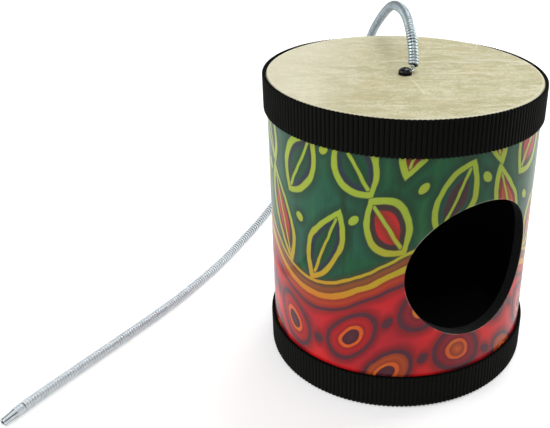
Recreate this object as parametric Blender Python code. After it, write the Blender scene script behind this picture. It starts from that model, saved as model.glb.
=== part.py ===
"""Spring drum: a tube with a film head, a sound hole and a long steel spring.

Metres, +Z up. The origin is on the drum's axis, on the surface that the drum stands on.
The sound hole faces -Y. The spring leaves the head near its middle, arches over the back rim,
comes down behind the drum and lies on the same surface.
"""

import math

import bmesh
import bpy
import numpy as np
from mathutils import Matrix, Vector

MM = 0.001

# Fits
CLEARANCE = 0.3 * MM           # between pieces that touch
CUT_OVERRUN = 5.0 * MM         # how far a cutter runs past the wall that it cuts

# Tube, bottom and wrap
SHELL_RADIUS = 75.6 * MM       # outside
SHELL_WALL = 5.5 * MM
SHELL_HEIGHT = 169.0 * MM
SHELL_EDGE = 1.0 * MM          # chamfer of the edge that the film bears on
BOTTOM_THICKNESS = 3.0 * MM
BOTTOM_RECESS = 0.5 * MM       # the bottom sits this far up inside the tube
WRAP_THICKNESS = 0.3 * MM
WRAP_MARGIN = 1.0 * MM         # bare tube left below the wrap
SOUND_HOLE_RADIUS = 39.5 * MM
SOUND_HOLE_HEIGHT = 82.6 * MM  # centre of the hole above the foot
WRAP_HOLE_MARGIN = 0.2 * MM    # the wrap is cut back this far round the hole

# Head
FILM_THICKNESS = 0.3 * MM
FILM_SKIRT = 17.0 * MM         # how far the film is folded down the outside
FILM_FOLD_STEPS = 4

# Webbing bands
BAND_THICKNESS = 1.6 * MM
BAND_WIDTH = 19.6 * MM
BAND_EDGE = 0.4 * MM           # small chamfer along the webbing's edges
TOP_BAND_RISE = 0.1 * MM       # the upper edge stands this far above the film
BOTTOM_BAND_LIFT = 0.5 * MM    # the lower edge stays this far above the surface
SEAM_GAP = 0.6 * MM            # the ends of the wrap and of each band meet here, at the back

# Fastener in the head, a little off the middle
ANCHOR_X = -4.1 * MM
ANCHOR_Y = -5.2 * MM
SCREW_RADIUS = 1.5 * MM
DOME_RADIUS = 3.75 * MM
DOME_HEIGHT = 3.4 * MM
DOME_SKIRT = 1.2 * MM          # straight lower part of the dome
DOME_WALL = 0.65 * MM          # wall round the hollow that holds the wire's eye
RECESS_WIDTH = 0.9 * MM        # cross recess for the driver
RECESS_LENGTH = 3.4 * MM
RECESS_DEPTH = 1.2 * MM
RECESS_TURNS = (math.radians(45), math.radians(135))
PATCH_RADIUS = 12.0 * MM
PATCH_THICKNESS = 0.8 * MM
WASHER_RADIUS = 7.0 * MM
WASHER_THICKNESS = 1.0 * MM
NUT_ACROSS_FLATS = 5.5 * MM
NUT_HEIGHT = 2.4 * MM
SCREW_END = 1.5 * MM           # length of shank past the nut

# Spring
SPRING_RADIUS = 2.9 * MM       # outside of the coil
WIRE_RADIUS = 0.55 * MM
CURLS = 90
POINTS_PER_CURL = 8
EYE_TURN = math.radians(300)   # part of a turn that the eye makes round the shank
EYE_STEPS = 20
HOOK_BEND = 1.5 * MM           # radius of the bend from the eye to the riser
HOOK_BEND_STEPS = 6
HOOK_STANDOFF = 2.37 * MM      # from the dome's side to the middle of the riser
HOOK_HEADING = math.radians(11.3)
HOOK_RISE = 3.4 * MM           # middle of the riser's round top above the film
ROUND_END = (math.radians(0), math.radians(30), math.radians(55), math.radians(75))
TABLE_GAP = 0.2 * MM           # under the spring where it lies
TIP_LENGTH = 12.5 * MM
TIP_END_RADIUS = 2.25 * MM
TIP_CREASE = 0.42              # depth of the pressed crease at the end, as a share of the radius
TIP_CREASE_ANGLE = 0.5         # half width of the crease, in radians
TIP_SECTIONS = 9
TIP_SIDES = 20

# Roundness
ROUND_STEPS = 72
SMALL_STEPS = 32
FACET_ANGLE = math.radians(35)

# The spring's route after its hook, chosen by eye, in mm. The arch's heights are measured from
# the film's upper face, the rest from the middle of the spring where it lies on the table.
ARCH_ROUTE = [
    (3.8, -0.6, 9.0), (5.0, 2.5, 14.4), (6.7, 6.9, 18.7), (9.2, 13.1, 22.4), (12.3, 21.0, 24.9),
    (16.1, 30.8, 25.6), (20.5, 41.9, 24.7), (25.3, 54.0, 22.5), (30.8, 68.0, 17.8), (37.5, 85.0, 9.8),
    (44.8, 103.5, -0.2), (51.3, 120.1, -10.2),
]
TABLE_ROUTE = [
    (60.0, 144.0, 136.0), (64.5, 163.0, 111.0), (62.5, 178.5, 83.0), (54.5, 190.5, 55.0),
    (41.5, 197.5, 30.5), (25.0, 199.0, 13.0), (8.0, 193.0, 3.8), (-8.5, 180.0, 0.4), (-25.0, 163.7, 0.0),
    (-42.5, 147.5, 0.0), (-66.5, 126.0, 0.0), (-92.5, 106.0, 0.0), (-111.0, 93.3, 0.0),
    (-141.5, 75.2, 0.0), (-169.5, 59.7, 0.0), (-197.5, 44.3, 0.0), (-217.0, 32.8, 0.0),
    (-225.5, 27.0, 0.0),
]
ROUTE_SAMPLES = 4000

# Sizes that follow from the ones above
FILM_TOP = SHELL_HEIGHT + CLEARANCE + FILM_THICKNESS
FILM_FOLD = SHELL_EDGE + CLEARANCE + FILM_THICKNESS
WRAP_INSIDE = SHELL_RADIUS + CLEARANCE
WRAP_OUTSIDE = WRAP_INSIDE + WRAP_THICKNESS
SKIRT_INSIDE = SHELL_RADIUS + CLEARANCE
SKIRT_OUTSIDE = SKIRT_INSIDE + FILM_THICKNESS
SKIRT_FOOT = FILM_TOP - FILM_SKIRT
WRAP_TOP = SKIRT_FOOT - CLEARANCE
SCREW_HOLE = SCREW_RADIUS + CLEARANCE
EYE_RADIUS = SCREW_RADIUS + CLEARANCE + WIRE_RADIUS
EYE_HEIGHT = FILM_TOP + 2 * CLEARANCE + WIRE_RADIUS
HOLLOW_RADIUS = DOME_RADIUS - DOME_WALL
HOLLOW_TOP = EYE_HEIGHT + WIRE_RADIUS + CLEARANCE
FILM_UNDERSIDE = FILM_TOP - FILM_THICKNESS
PATCH_TOP = FILM_UNDERSIDE - CLEARANCE
WASHER_TOP = PATCH_TOP - PATCH_THICKNESS - CLEARANCE
NUT_TOP = WASHER_TOP - WASHER_THICKNESS - CLEARANCE
SCREW_FOOT = NUT_TOP - NUT_HEIGHT - SCREW_END
COIL_RADIUS = SPRING_RADIUS - WIRE_RADIUS
HOOK_REACH = DOME_RADIUS + HOOK_STANDOFF
ANCHOR = Vector((ANCHOR_X, ANCHOR_Y, 0.0))
PIVOT = ANCHOR + Vector((HOOK_REACH * math.cos(HOOK_HEADING), HOOK_REACH * math.sin(HOOK_HEADING),
                         FILM_TOP + HOOK_RISE))
LYING_HEIGHT = SPRING_RADIUS + TABLE_GAP


def clear_scene():
    for old in list(bpy.data.objects):
        bpy.data.objects.remove(old, do_unlink=True)


def finish(name, colour, roughness, metallic):
    material = bpy.data.materials.new(name)
    material.use_nodes = True
    shader = material.node_tree.nodes["Principled BSDF"]
    shader.inputs["Base Color"].default_value = (*colour, 1.0)
    shader.inputs["Roughness"].default_value = roughness
    shader.inputs["Metallic"].default_value = metallic
    return material


def add_object(name, data, material=None, parent=None):
    """Link an object whose data are in world coordinates, and hang it on its parent's axis."""
    made = bpy.data.objects.new(name, data)
    bpy.context.collection.objects.link(made)
    if material:
        data.materials.append(material)
    if parent:
        made.parent = parent
        data.transform(Matrix.Translation(-parent.location))
    return made


def add_axis(name, place):
    axis = bpy.data.objects.new(name, None)
    axis.empty_display_size = 10 * MM
    axis.location = place
    bpy.context.collection.objects.link(axis)
    return axis


def mesh_from(name, shape):
    bmesh.ops.recalc_face_normals(shape, faces=shape.faces)
    mesh = bpy.data.meshes.new(name)
    shape.to_mesh(mesh)
    shape.free()
    mesh.shade_smooth()
    mesh.set_sharp_from_angle(angle=FACET_ANGLE)
    return mesh


def turned_mesh(name, outline, steps, gap=0.0, place=Vector()):
    """Turn a closed outline of (radius, height) points about an upright axis through place.

    With a gap, the turn is left open at the back by that angle.
    """
    shape = bmesh.new()
    start = math.pi / 2 + gap / 2
    corners = []
    for radius, height in outline:
        corners.append(shape.verts.new((radius * math.cos(start), radius * math.sin(start), height)))
    profile = shape.faces.new(corners)
    if gap:
        bmesh.ops.spin(shape, geom=[profile], axis=(0, 0, 1), cent=(0, 0, 0),
                       angle=2 * math.pi - gap, steps=steps)
    else:
        on_axis = [edge for edge in profile.edges if not any(v.co.xy.length for v in edge.verts)]
        spun = [edge for edge in profile.edges if edge not in on_axis]
        shape.faces.remove(profile)
        for edge in on_axis:
            shape.edges.remove(edge)
        bmesh.ops.spin(shape, geom=spun + corners, axis=(0, 0, 1), cent=(0, 0, 0),
                       angle=2 * math.pi, steps=steps, use_merge=True)
    bmesh.ops.remove_doubles(shape, verts=shape.verts, dist=0.001 * MM)
    bmesh.ops.translate(shape, verts=shape.verts, vec=place)
    return mesh_from(name, shape)


def ring_outline(inside, outside, low, high):
    return [(outside, high), (outside, low), (inside, low), (inside, high)]


def chamfered_outline(inside, outside, low, high, cut):
    return [
        (outside - cut, high), (outside, high - cut), (outside, low + cut), (outside - cut, low),
        (inside, low), (inside, high),
    ]


def add_cutter(name, mesh, parent=None):
    cutter = add_object(name, mesh, parent=parent)
    cutter.hide_render = True
    cutter.display_type = "WIRE"
    return cutter


def cut(target, cutter):
    step = target.modifiers.new("cut by " + cutter.name, "BOOLEAN")
    step.operation = "DIFFERENCE"
    step.solver = "EXACT"
    step.object = cutter


def drilled_cylinder(name, radius, height, length):
    """A cylinder along -Y, from the drum's axis outwards, that cuts the sound hole."""
    shape = bmesh.new()
    placed = Matrix.Translation((0, -length / 2, height)) @ Matrix.Rotation(math.pi / 2, 4, "X")
    bmesh.ops.create_cone(shape, cap_ends=True, segments=ROUND_STEPS, radius1=radius, radius2=radius,
                          depth=length, matrix=placed)
    return mesh_from(name, shape)


def bore_mesh(name, radius, low, high):
    """An upright cylinder on the fastener's axis, for cutting a bore from low to high."""
    shape = bmesh.new()
    placed = Matrix.Translation(ANCHOR + Vector((0, 0, (low + high) / 2)))
    bmesh.ops.create_cone(shape, cap_ends=True, segments=SMALL_STEPS, radius1=radius, radius2=radius,
                          depth=high - low, matrix=placed)
    return mesh_from(name, shape)


def box_mesh(name, size, placed):
    shape = bmesh.new()
    bmesh.ops.create_cube(shape, size=1.0, matrix=placed @ Matrix.Diagonal((*size, 1.0)))
    return mesh_from(name, shape)


def smooth_route(points, samples):
    """Even samples of the natural cubic spline through a list of points."""
    knots = np.array(points)
    spans = np.linalg.norm(np.diff(knots, axis=0), axis=1)
    places = np.concatenate([[0.0], np.cumsum(spans)])
    count = len(knots)
    system = np.eye(count)
    bends = np.zeros((count, 3))
    for k in range(1, count - 1):
        system[k, k - 1:k + 2] = spans[k - 1], 2 * (spans[k - 1] + spans[k]), spans[k]
        bends[k] = 6 * ((knots[k + 1] - knots[k]) / spans[k] - (knots[k] - knots[k - 1]) / spans[k - 1])
    moments = np.linalg.solve(system, bends)
    where = np.linspace(0.0, places[-1], samples)
    left = np.clip(np.searchsorted(places, where, side="right") - 1, 0, count - 2)
    span = spans[left][:, None]
    before = (where - places[left])[:, None]
    after = span - before
    curve = (moments[left] * after ** 3 + moments[left + 1] * before ** 3) / (6 * span)
    curve += (knots[left] / span - moments[left] * span / 6) * after
    curve += (knots[left + 1] / span - moments[left + 1] * span / 6) * before
    lengths = np.concatenate([[0.0], np.cumsum(np.linalg.norm(np.diff(curve, axis=0), axis=1))])
    even = np.linspace(0.0, lengths[-1], samples)
    return np.stack([np.interp(even, lengths, curve[:, k]) for k in range(3)], axis=1), lengths[-1]


def carried_frames(curve):
    """Tangent and side vectors along a curve that turn as little as they can."""
    tangents = np.gradient(curve, axis=0)
    tangents /= np.linalg.norm(tangents, axis=1)[:, None]
    sides = np.zeros_like(tangents)
    side = np.array([1.0, 0.0, 0.0])
    for k, tangent in enumerate(tangents):
        side = side - tangent * side.dot(tangent)
        side /= np.linalg.norm(side)
        sides[k] = side
    return tangents, sides, np.cross(tangents, sides)


def tube(name, points, radius, resolution, material, parent, radii=None):
    """A round wire along points in world coordinates, with filled ends."""
    curve = bpy.data.curves.new(name, "CURVE")
    curve.dimensions = "3D"
    curve.bevel_depth = radius
    curve.bevel_resolution = resolution
    curve.use_fill_caps = True
    spline = curve.splines.new("POLY")
    spline.points.add(len(points) - 1)
    for k, point in enumerate(points):
        spline.points[k].co = (*point, 1.0)
        spline.points[k].radius = radii[k] if radii else 1.0
    spline.use_smooth = True
    return add_object(name, curve, material, parent)


def least_gap(points, radius, curl_points):
    """Least gap between stretches of a wire that are at least half a curl apart along it."""
    apart = curl_points // 2
    least = math.inf
    for k in range(len(points) - apart):
        least = min(least, np.linalg.norm(points[k + apart:] - points[k], axis=1).min())
    return least - 2 * radius


def build_shell(material, hole):
    outside = SHELL_RADIUS
    inside = SHELL_RADIUS - SHELL_WALL
    outline = [
        (outside - SHELL_EDGE, SHELL_HEIGHT), (outside, SHELL_HEIGHT - SHELL_EDGE),
        (outside, 0.0), (inside, 0.0), (inside, SHELL_HEIGHT),
    ]
    shell = add_object("shell", turned_mesh("shell", outline, ROUND_STEPS), material)
    cut(shell, hole)


def build_bottom(material):
    outline = ring_outline(0.0, SHELL_RADIUS - SHELL_WALL - CLEARANCE,
                           BOTTOM_RECESS, BOTTOM_RECESS + BOTTOM_THICKNESS)
    add_object("bottom_disc", turned_mesh("bottom_disc", outline, ROUND_STEPS), material)


def build_wrap(material, hole):
    outline = ring_outline(WRAP_INSIDE, WRAP_OUTSIDE, WRAP_MARGIN, WRAP_TOP)
    mesh = turned_mesh("shell_wrap", outline, ROUND_STEPS, SEAM_GAP / WRAP_OUTSIDE)
    wrap = add_object("shell_wrap", mesh, material)
    cut(wrap, hole)


def build_head(material):
    """A film with a hole for the screw, folded over the tube's edge into a skirt."""
    centre = (SKIRT_OUTSIDE - FILM_FOLD, FILM_TOP - FILM_FOLD)
    outline = [(0.0, FILM_TOP)]
    turn = [math.pi / 2 * k / FILM_FOLD_STEPS for k in range(FILM_FOLD_STEPS + 1)]
    for radius, angles in ((FILM_FOLD, turn), (FILM_FOLD - FILM_THICKNESS, turn[::-1])):
        arc = [(centre[0] + radius * math.sin(a), centre[1] + radius * math.cos(a)) for a in angles]
        outline += arc
        if angles is turn:
            outline += [(SKIRT_OUTSIDE, SKIRT_FOOT), (SKIRT_INSIDE, SKIRT_FOOT)]
    outline.append((0.0, FILM_UNDERSIDE))
    head = add_object("drum_head", turned_mesh("drum_head", outline, ROUND_STEPS), material)
    bore = bore_mesh("film_hole_cutter", SCREW_HOLE, FILM_UNDERSIDE - CUT_OVERRUN, FILM_TOP + CUT_OVERRUN)
    cut(head, add_cutter("film_hole_cutter", bore))


def build_band(name, material, inside, low):
    outline = chamfered_outline(inside, inside + BAND_THICKNESS, low, low + BAND_WIDTH, BAND_EDGE)
    mesh = turned_mesh(name, outline, ROUND_STEPS, SEAM_GAP / inside)
    add_object(name, mesh, material)


def eye_exit():
    """Where the wire leaves its eye round the shank, and the level way from there to the pivot."""
    heading = HOOK_HEADING - math.acos(EYE_RADIUS / HOOK_REACH)
    point = Vector((EYE_RADIUS * math.cos(heading), EYE_RADIUS * math.sin(heading), EYE_HEIGHT))
    point += ANCHOR
    way = Vector((PIVOT.x - point.x, PIVOT.y - point.y, 0.0)).normalized()
    return heading, point, way


def build_screw(material, axis):
    """A domed screw, hollow under the dome, with a notch where the spring's wire comes out."""
    exit_point, exit_way = eye_exit()[1:]
    low = FILM_TOP + CLEARANCE
    shoulder = low + DOME_SKIRT
    crown = DOME_HEIGHT - DOME_SKIRT
    outline = []
    for k in range(SMALL_STEPS // 4 + 1):
        angle = math.pi / 2 * k / (SMALL_STEPS // 4)
        outline.append((DOME_RADIUS * math.sin(angle), shoulder + crown * math.cos(angle)))
    outline += [
        (DOME_RADIUS, low), (HOLLOW_RADIUS, low), (HOLLOW_RADIUS, HOLLOW_TOP),
        (SCREW_RADIUS, HOLLOW_TOP), (SCREW_RADIUS, SCREW_FOOT), (0.0, SCREW_FOOT),
    ]
    mesh = turned_mesh("anchor_screw", outline, SMALL_STEPS, place=ANCHOR)
    screw = add_object("anchor_screw", mesh, material, axis)
    top = low + DOME_HEIGHT
    for number, turn in enumerate(RECESS_TURNS):
        name = f"recess_cutter_{number}"
        placed = Matrix.Translation((ANCHOR_X, ANCHOR_Y, top)) @ Matrix.Rotation(turn, 4, "Z")
        size = (RECESS_LENGTH, RECESS_WIDTH, 2 * RECESS_DEPTH)
        cut(screw, add_cutter(name, box_mesh(name, size, placed), axis))
    middle = exit_point + exit_way * (WIRE_RADIUS + DOME_RADIUS)
    heading = math.atan2(exit_way.y, exit_way.x)
    floor = low - CLEARANCE / 2
    ceiling = HOLLOW_TOP - CLEARANCE / 2
    placed = Matrix.Translation((middle.x, middle.y, (floor + ceiling) / 2))
    placed @= Matrix.Rotation(heading, 4, "Z")
    size = (2 * DOME_RADIUS, 2 * (WIRE_RADIUS + CLEARANCE), ceiling - floor)
    cut(screw, add_cutter("notch_cutter", box_mesh("notch_cutter", size, placed), axis))


def build_washers(patch_finish, washer_finish, axis):
    patch = ring_outline(SCREW_HOLE, PATCH_RADIUS, PATCH_TOP - PATCH_THICKNESS, PATCH_TOP)
    mesh = turned_mesh("fibre_patch", patch, SMALL_STEPS, place=ANCHOR)
    add_object("fibre_patch", mesh, patch_finish)
    washer = ring_outline(SCREW_HOLE, WASHER_RADIUS, WASHER_TOP - WASHER_THICKNESS, WASHER_TOP)
    mesh = turned_mesh("backing_washer", washer, SMALL_STEPS, place=ANCHOR)
    add_object("backing_washer", mesh, washer_finish, axis)


def build_nut(material, axis):
    shape = bmesh.new()
    corner = NUT_ACROSS_FLATS / math.sqrt(3)
    middle = Matrix.Translation((ANCHOR_X, ANCHOR_Y, NUT_TOP - NUT_HEIGHT / 2))
    bmesh.ops.create_cone(shape, cap_ends=True, segments=6, radius1=corner, radius2=corner,
                          depth=NUT_HEIGHT, matrix=middle)
    nut = add_object("lock_nut", mesh_from("lock_nut", shape), material, axis)
    bore = bore_mesh("nut_bore_cutter", SCREW_HOLE, NUT_TOP - NUT_HEIGHT - CUT_OVERRUN, NUT_TOP + CUT_OVERRUN)
    cut(nut, add_cutter("nut_bore_cutter", bore, axis))


def build_hook(material, axis):
    """The end of the spring's wire: an eye round the shank, then a riser with a rounded top."""
    heading, exit_point, way = eye_exit()
    points = []
    for k in range(EYE_STEPS):
        angle = heading - EYE_TURN + EYE_TURN * k / EYE_STEPS
        around = Vector((EYE_RADIUS * math.cos(angle), EYE_RADIUS * math.sin(angle), EYE_HEIGHT))
        points.append(ANCHOR + around)
    points.append(exit_point)
    bend_centre = Vector((PIVOT.x, PIVOT.y, EYE_HEIGHT + HOOK_BEND)) - way * HOOK_BEND
    up = Vector((0, 0, 1))
    for k in range(HOOK_BEND_STEPS + 1):
        angle = math.pi / 2 * k / HOOK_BEND_STEPS
        points.append(bend_centre + HOOK_BEND * (way * math.sin(angle) - up * math.cos(angle)))
    radii = [1.0] * len(points)
    for angle in ROUND_END:
        points.append(PIVOT + up * WIRE_RADIUS * math.sin(angle))
        radii.append(math.cos(angle))
    tube("spring_hook", points, WIRE_RADIUS, 2, material, axis, radii)


def spring_route():
    arch = [(x * MM, y * MM, z * MM + FILM_TOP) for x, y, z in ARCH_ROUTE]
    table = [(x * MM, y * MM, z * MM + LYING_HEIGHT) for x, y, z in TABLE_ROUTE]
    return smooth_route([tuple(PIVOT)] + arch + table, ROUTE_SAMPLES)


def build_spring(material, pivot_axis, curve, length):
    """One unbroken wire, wound along the route, that runs straight on the route at both ends."""
    sides, ups = carried_frames(curve)[1:]
    stations = np.linspace(0.0, length, len(curve))
    wire = 2 * WIRE_RADIUS
    first = WIRE_RADIUS + CLEARANCE
    last = length - TIP_LENGTH - CLEARANCE
    steps = CURLS * POINTS_PER_CURL
    turns = np.linspace(0.0, CURLS, steps + 1)
    along = first + wire + (last - first - 2 * wire) * turns / CURLS
    ease = np.clip(np.minimum(turns, CURLS - turns), 0.0, 1.0)
    ease = ease * ease * (3 - 2 * ease)
    at = np.concatenate([[first], along, [last]])
    angle = 2 * math.pi * np.concatenate([[0.0], turns, [CURLS]])
    swing = COIL_RADIUS * np.concatenate([[0.0], ease, [0.0]])

    def read(values):
        return np.stack([np.interp(at, stations, values[:, k]) for k in range(3)], axis=1)

    points = read(curve)
    points += (swing * np.cos(angle))[:, None] * read(sides)
    points += (swing * np.sin(angle))[:, None] * read(ups)
    tube("coil_spring", points, WIRE_RADIUS, 1, material, pivot_axis)
    gap = least_gap(points, WIRE_RADIUS, POINTS_PER_CURL)
    print(f"coil_spring: {CURLS} curls on {length / MM:.1f} mm, least gap to itself {gap / MM:.2f} mm")


def build_tip(material, pivot_axis, curve, length):
    """The pressed end: round where it meets the coil, then tapered and creased along its top."""
    stations = np.linspace(0.0, length, len(curve))
    tangents = carried_frames(curve)[0]
    shape = bmesh.new()
    rings = []
    for k in range(TIP_SECTIONS):
        share = k / (TIP_SECTIONS - 1)
        at = length - TIP_LENGTH * (1 - share)
        middle = Vector([np.interp(at, stations, curve[:, axis]) for axis in range(3)])
        ahead = Vector([np.interp(at, stations, tangents[:, axis]) for axis in range(3)])
        across = ahead.cross(Vector((0, 0, 1))).normalized()
        above = across.cross(ahead)
        pressed = share * share * (3 - 2 * share)
        radius = SPRING_RADIUS + (TIP_END_RADIUS - SPRING_RADIUS) * pressed
        ring = []
        for j in range(TIP_SIDES):
            angle = 2 * math.pi * j / TIP_SIDES - math.pi
            crease = TIP_CREASE * pressed * math.exp(-(angle / TIP_CREASE_ANGLE) ** 2)
            offset = across * math.sin(angle) + above * math.cos(angle)
            ring.append(shape.verts.new(middle + offset * radius * (1 - crease)))
        rings.append(ring)
    for low, high in zip(rings, rings[1:]):
        for j in range(TIP_SIDES):
            k = (j + 1) % TIP_SIDES
            shape.faces.new((low[j], low[k], high[k], high[j]))
    shape.faces.new(rings[0])
    shape.faces.new(rings[-1])
    add_object("crimped_tip", mesh_from("crimped_tip", shape), material, pivot_axis)


def build():
    clear_scene()
    black_board = finish("black_board", (0.012, 0.012, 0.012), 0.7, 0.0)
    printed_film = finish("printed_film", (0.42, 0.10, 0.05), 0.12, 0.0)
    parchment = finish("parchment", (0.58, 0.54, 0.37), 0.45, 0.0)
    webbing = finish("webbing", (0.012, 0.012, 0.012), 0.85, 0.0)
    black_steel = finish("black_steel", (0.01, 0.01, 0.01), 0.15, 0.4)
    plain_steel = finish("plain_steel", (0.55, 0.56, 0.58), 0.3, 1.0)
    fibre = finish("fibre", (0.10, 0.03, 0.02), 0.8, 0.0)
    spring_steel = finish("spring_steel", (0.60, 0.64, 0.68), 0.22, 1.0)

    reach = SHELL_RADIUS + CUT_OVERRUN
    hole = drilled_cylinder("sound_hole_cutter", SOUND_HOLE_RADIUS, SOUND_HOLE_HEIGHT, reach)
    wrap_hole = drilled_cylinder("wrap_hole_cutter", SOUND_HOLE_RADIUS + WRAP_HOLE_MARGIN,
                                 SOUND_HOLE_HEIGHT, reach)
    build_shell(black_board, add_cutter("sound_hole_cutter", hole))
    build_bottom(black_board)
    build_wrap(printed_film, add_cutter("wrap_hole_cutter", wrap_hole))
    build_head(parchment)
    build_band("top_band", webbing, SKIRT_OUTSIDE + CLEARANCE, FILM_TOP + TOP_BAND_RISE - BAND_WIDTH)
    build_band("bottom_band", webbing, WRAP_OUTSIDE + CLEARANCE, BOTTOM_BAND_LIFT)

    anchor_axis = add_axis("anchor_axis", (ANCHOR_X, ANCHOR_Y, FILM_TOP))
    build_screw(black_steel, anchor_axis)
    build_washers(fibre, plain_steel, anchor_axis)
    build_nut(plain_steel, anchor_axis)
    build_hook(spring_steel, anchor_axis)

    pivot_axis = add_axis("spring_pivot", PIVOT)
    curve, length = spring_route()
    build_spring(spring_steel, pivot_axis, curve, length)
    build_tip(spring_steel, pivot_axis, curve, length)


build()
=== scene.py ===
# %% [markdown]
# # Dressing a spring drum
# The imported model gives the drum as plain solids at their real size: a tube with a sound hole, a
# film head, two bands of webbing and a long spring that is fixed near the middle of the head. This
# lesson keeps every solid where it is and gives the drum its looks. Most solids are replaced by
# finer meshes of the same size, because gloss and thread show every flat facet.

# %% Load the frame
import math

import bmesh
import bpy
import numpy as np
from mathutils import Matrix, Quaternion, Vector


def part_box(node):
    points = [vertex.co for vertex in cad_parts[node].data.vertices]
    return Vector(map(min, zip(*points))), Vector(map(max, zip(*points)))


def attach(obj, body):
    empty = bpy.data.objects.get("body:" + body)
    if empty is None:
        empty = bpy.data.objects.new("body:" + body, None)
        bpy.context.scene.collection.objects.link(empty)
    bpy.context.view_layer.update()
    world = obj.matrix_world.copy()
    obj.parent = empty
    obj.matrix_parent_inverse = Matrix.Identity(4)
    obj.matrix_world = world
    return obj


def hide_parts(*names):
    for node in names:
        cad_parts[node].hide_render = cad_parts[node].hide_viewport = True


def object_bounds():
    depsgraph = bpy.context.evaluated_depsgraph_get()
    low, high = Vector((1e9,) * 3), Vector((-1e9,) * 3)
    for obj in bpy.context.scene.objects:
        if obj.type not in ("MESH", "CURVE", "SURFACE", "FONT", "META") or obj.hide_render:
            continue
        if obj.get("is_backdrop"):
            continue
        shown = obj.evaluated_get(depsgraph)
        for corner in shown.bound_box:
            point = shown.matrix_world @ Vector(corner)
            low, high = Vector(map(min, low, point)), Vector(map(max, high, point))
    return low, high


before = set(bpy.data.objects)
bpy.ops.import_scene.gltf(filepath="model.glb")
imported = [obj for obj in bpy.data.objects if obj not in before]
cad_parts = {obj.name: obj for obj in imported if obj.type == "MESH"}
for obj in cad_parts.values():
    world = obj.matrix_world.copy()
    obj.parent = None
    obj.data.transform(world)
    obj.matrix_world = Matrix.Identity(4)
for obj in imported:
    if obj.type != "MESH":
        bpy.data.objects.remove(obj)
cad_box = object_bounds()

# %% [markdown]
# ## Sizes from the frame
# A solid's box holds most of what is needed: the tube's radius is the reach of its box along X, and
# the head's upper face is the top of its box. Reading sizes there means that the looks follow the
# solids when those are built again at another size.

# %% Read the main sizes
MM = 0.001
FIT = 0.3 * MM                 # gap that the solids keep where they touch
tube_low, tube_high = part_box("shell")
wrap_low, wrap_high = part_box("shell_wrap")
head_low, head_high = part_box("drum_head")
TUBE_RADIUS = tube_high.x
TUBE_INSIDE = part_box("bottom_disc")[1].x + FIT
WRAP_RADIUS = wrap_high.x
SKIRT_RADIUS = head_high.x
FILM_TOP = head_high.z
HOLE_RADIUS = 39.5 * MM
HOLE_HEIGHT = 82.6 * MM        # of its middle, above the table
anchor_low, anchor_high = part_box("backing_washer")
ANCHOR = (anchor_low + anchor_high) / 2   # on the fastener's axis, a little off the drum's
print(f"tube {2 * TUBE_RADIUS / MM:.1f} mm across, film at {FILM_TOP / MM:.1f} mm")

# %% [markdown]
# ## The camera
# The photograph is a crop, so the point that the lens looks at squarely isn't the middle of the
# picture. Blender's lens shift says the same thing: it slides the picture on the sensor and leaves
# the perspective alone. The rest is a place, a direction and a slight roll.

# %% Place the camera
PHOTO_WIDTH = 550
PHOTO_HEIGHT = 428
LENS_CENTRE = (411.1, 188.5)   # pixel that the lens looks at squarely
FOCAL_PIXELS = 757.1
SENSOR_WIDTH = 36.0
CAMERA_PLACE = (-224.8 * MM, -335.2 * MM, 292.3 * MM)
CAMERA_LOOK = Vector((0.5121, 0.7410, -0.4344))
CAMERA_ROLL = math.radians(2.62)
NEAREST = 10 * MM              # what is nearer to the lens isn't drawn


def new_object(name, data):
    """An object that shows some data, linked to the scene."""
    made = bpy.data.objects.new(name, data)
    bpy.context.scene.collection.objects.link(made)
    return made


lens = bpy.data.cameras.new("photo_lens")
lens.sensor_width = SENSOR_WIDTH
lens.lens = SENSOR_WIDTH * FOCAL_PIXELS / PHOTO_WIDTH
lens.shift_x = 0.5 - LENS_CENTRE[0] / PHOTO_WIDTH
lens.shift_y = (LENS_CENTRE[1] - PHOTO_HEIGHT / 2) / PHOTO_WIDTH
lens.clip_start = NEAREST
camera = new_object("photo_camera", lens)
camera.location = CAMERA_PLACE
facing = CAMERA_LOOK.to_track_quat("-Z", "Y")
camera.rotation_euler = (facing @ Quaternion((0, 0, 1), CAMERA_ROLL)).to_euler()
bpy.context.scene.camera = camera
bpy.context.scene.view_settings.view_transform = "Standard"
print(f"lens {lens.lens:.1f} mm, shift {lens.shift_x:.3f} {lens.shift_y:.3f}")

# %% [markdown]
# ## The spring's route
# A spring this long behaves like a heavy cord: it leaves the head upright, arches over the rim,
# drops behind the drum and then lies on the table. A few given points say where it goes.
# A curve object could join them, but the winding needs even steps along the route, so the natural
# cubic spline through the points is worked out here and read again at even spacing.

# %% Points of the route
HOOK_ASIDE = (6.0014 * MM, 1.1992 * MM)   # from the fastener's axis to the hook's upright end
HOOK_RISE = 3.4 * MM           # from the film to the hook's top
PIVOT = Vector((ANCHOR.x + HOOK_ASIDE[0], ANCHOR.y + HOOK_ASIDE[1], FILM_TOP + HOOK_RISE))
SPRING_RADIUS = 2.9 * MM       # outside of the coil
TABLE_GAP = 0.2 * MM
LYING_HEIGHT = SPRING_RADIUS + TABLE_GAP
ROUTE_SAMPLES = 4000
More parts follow.
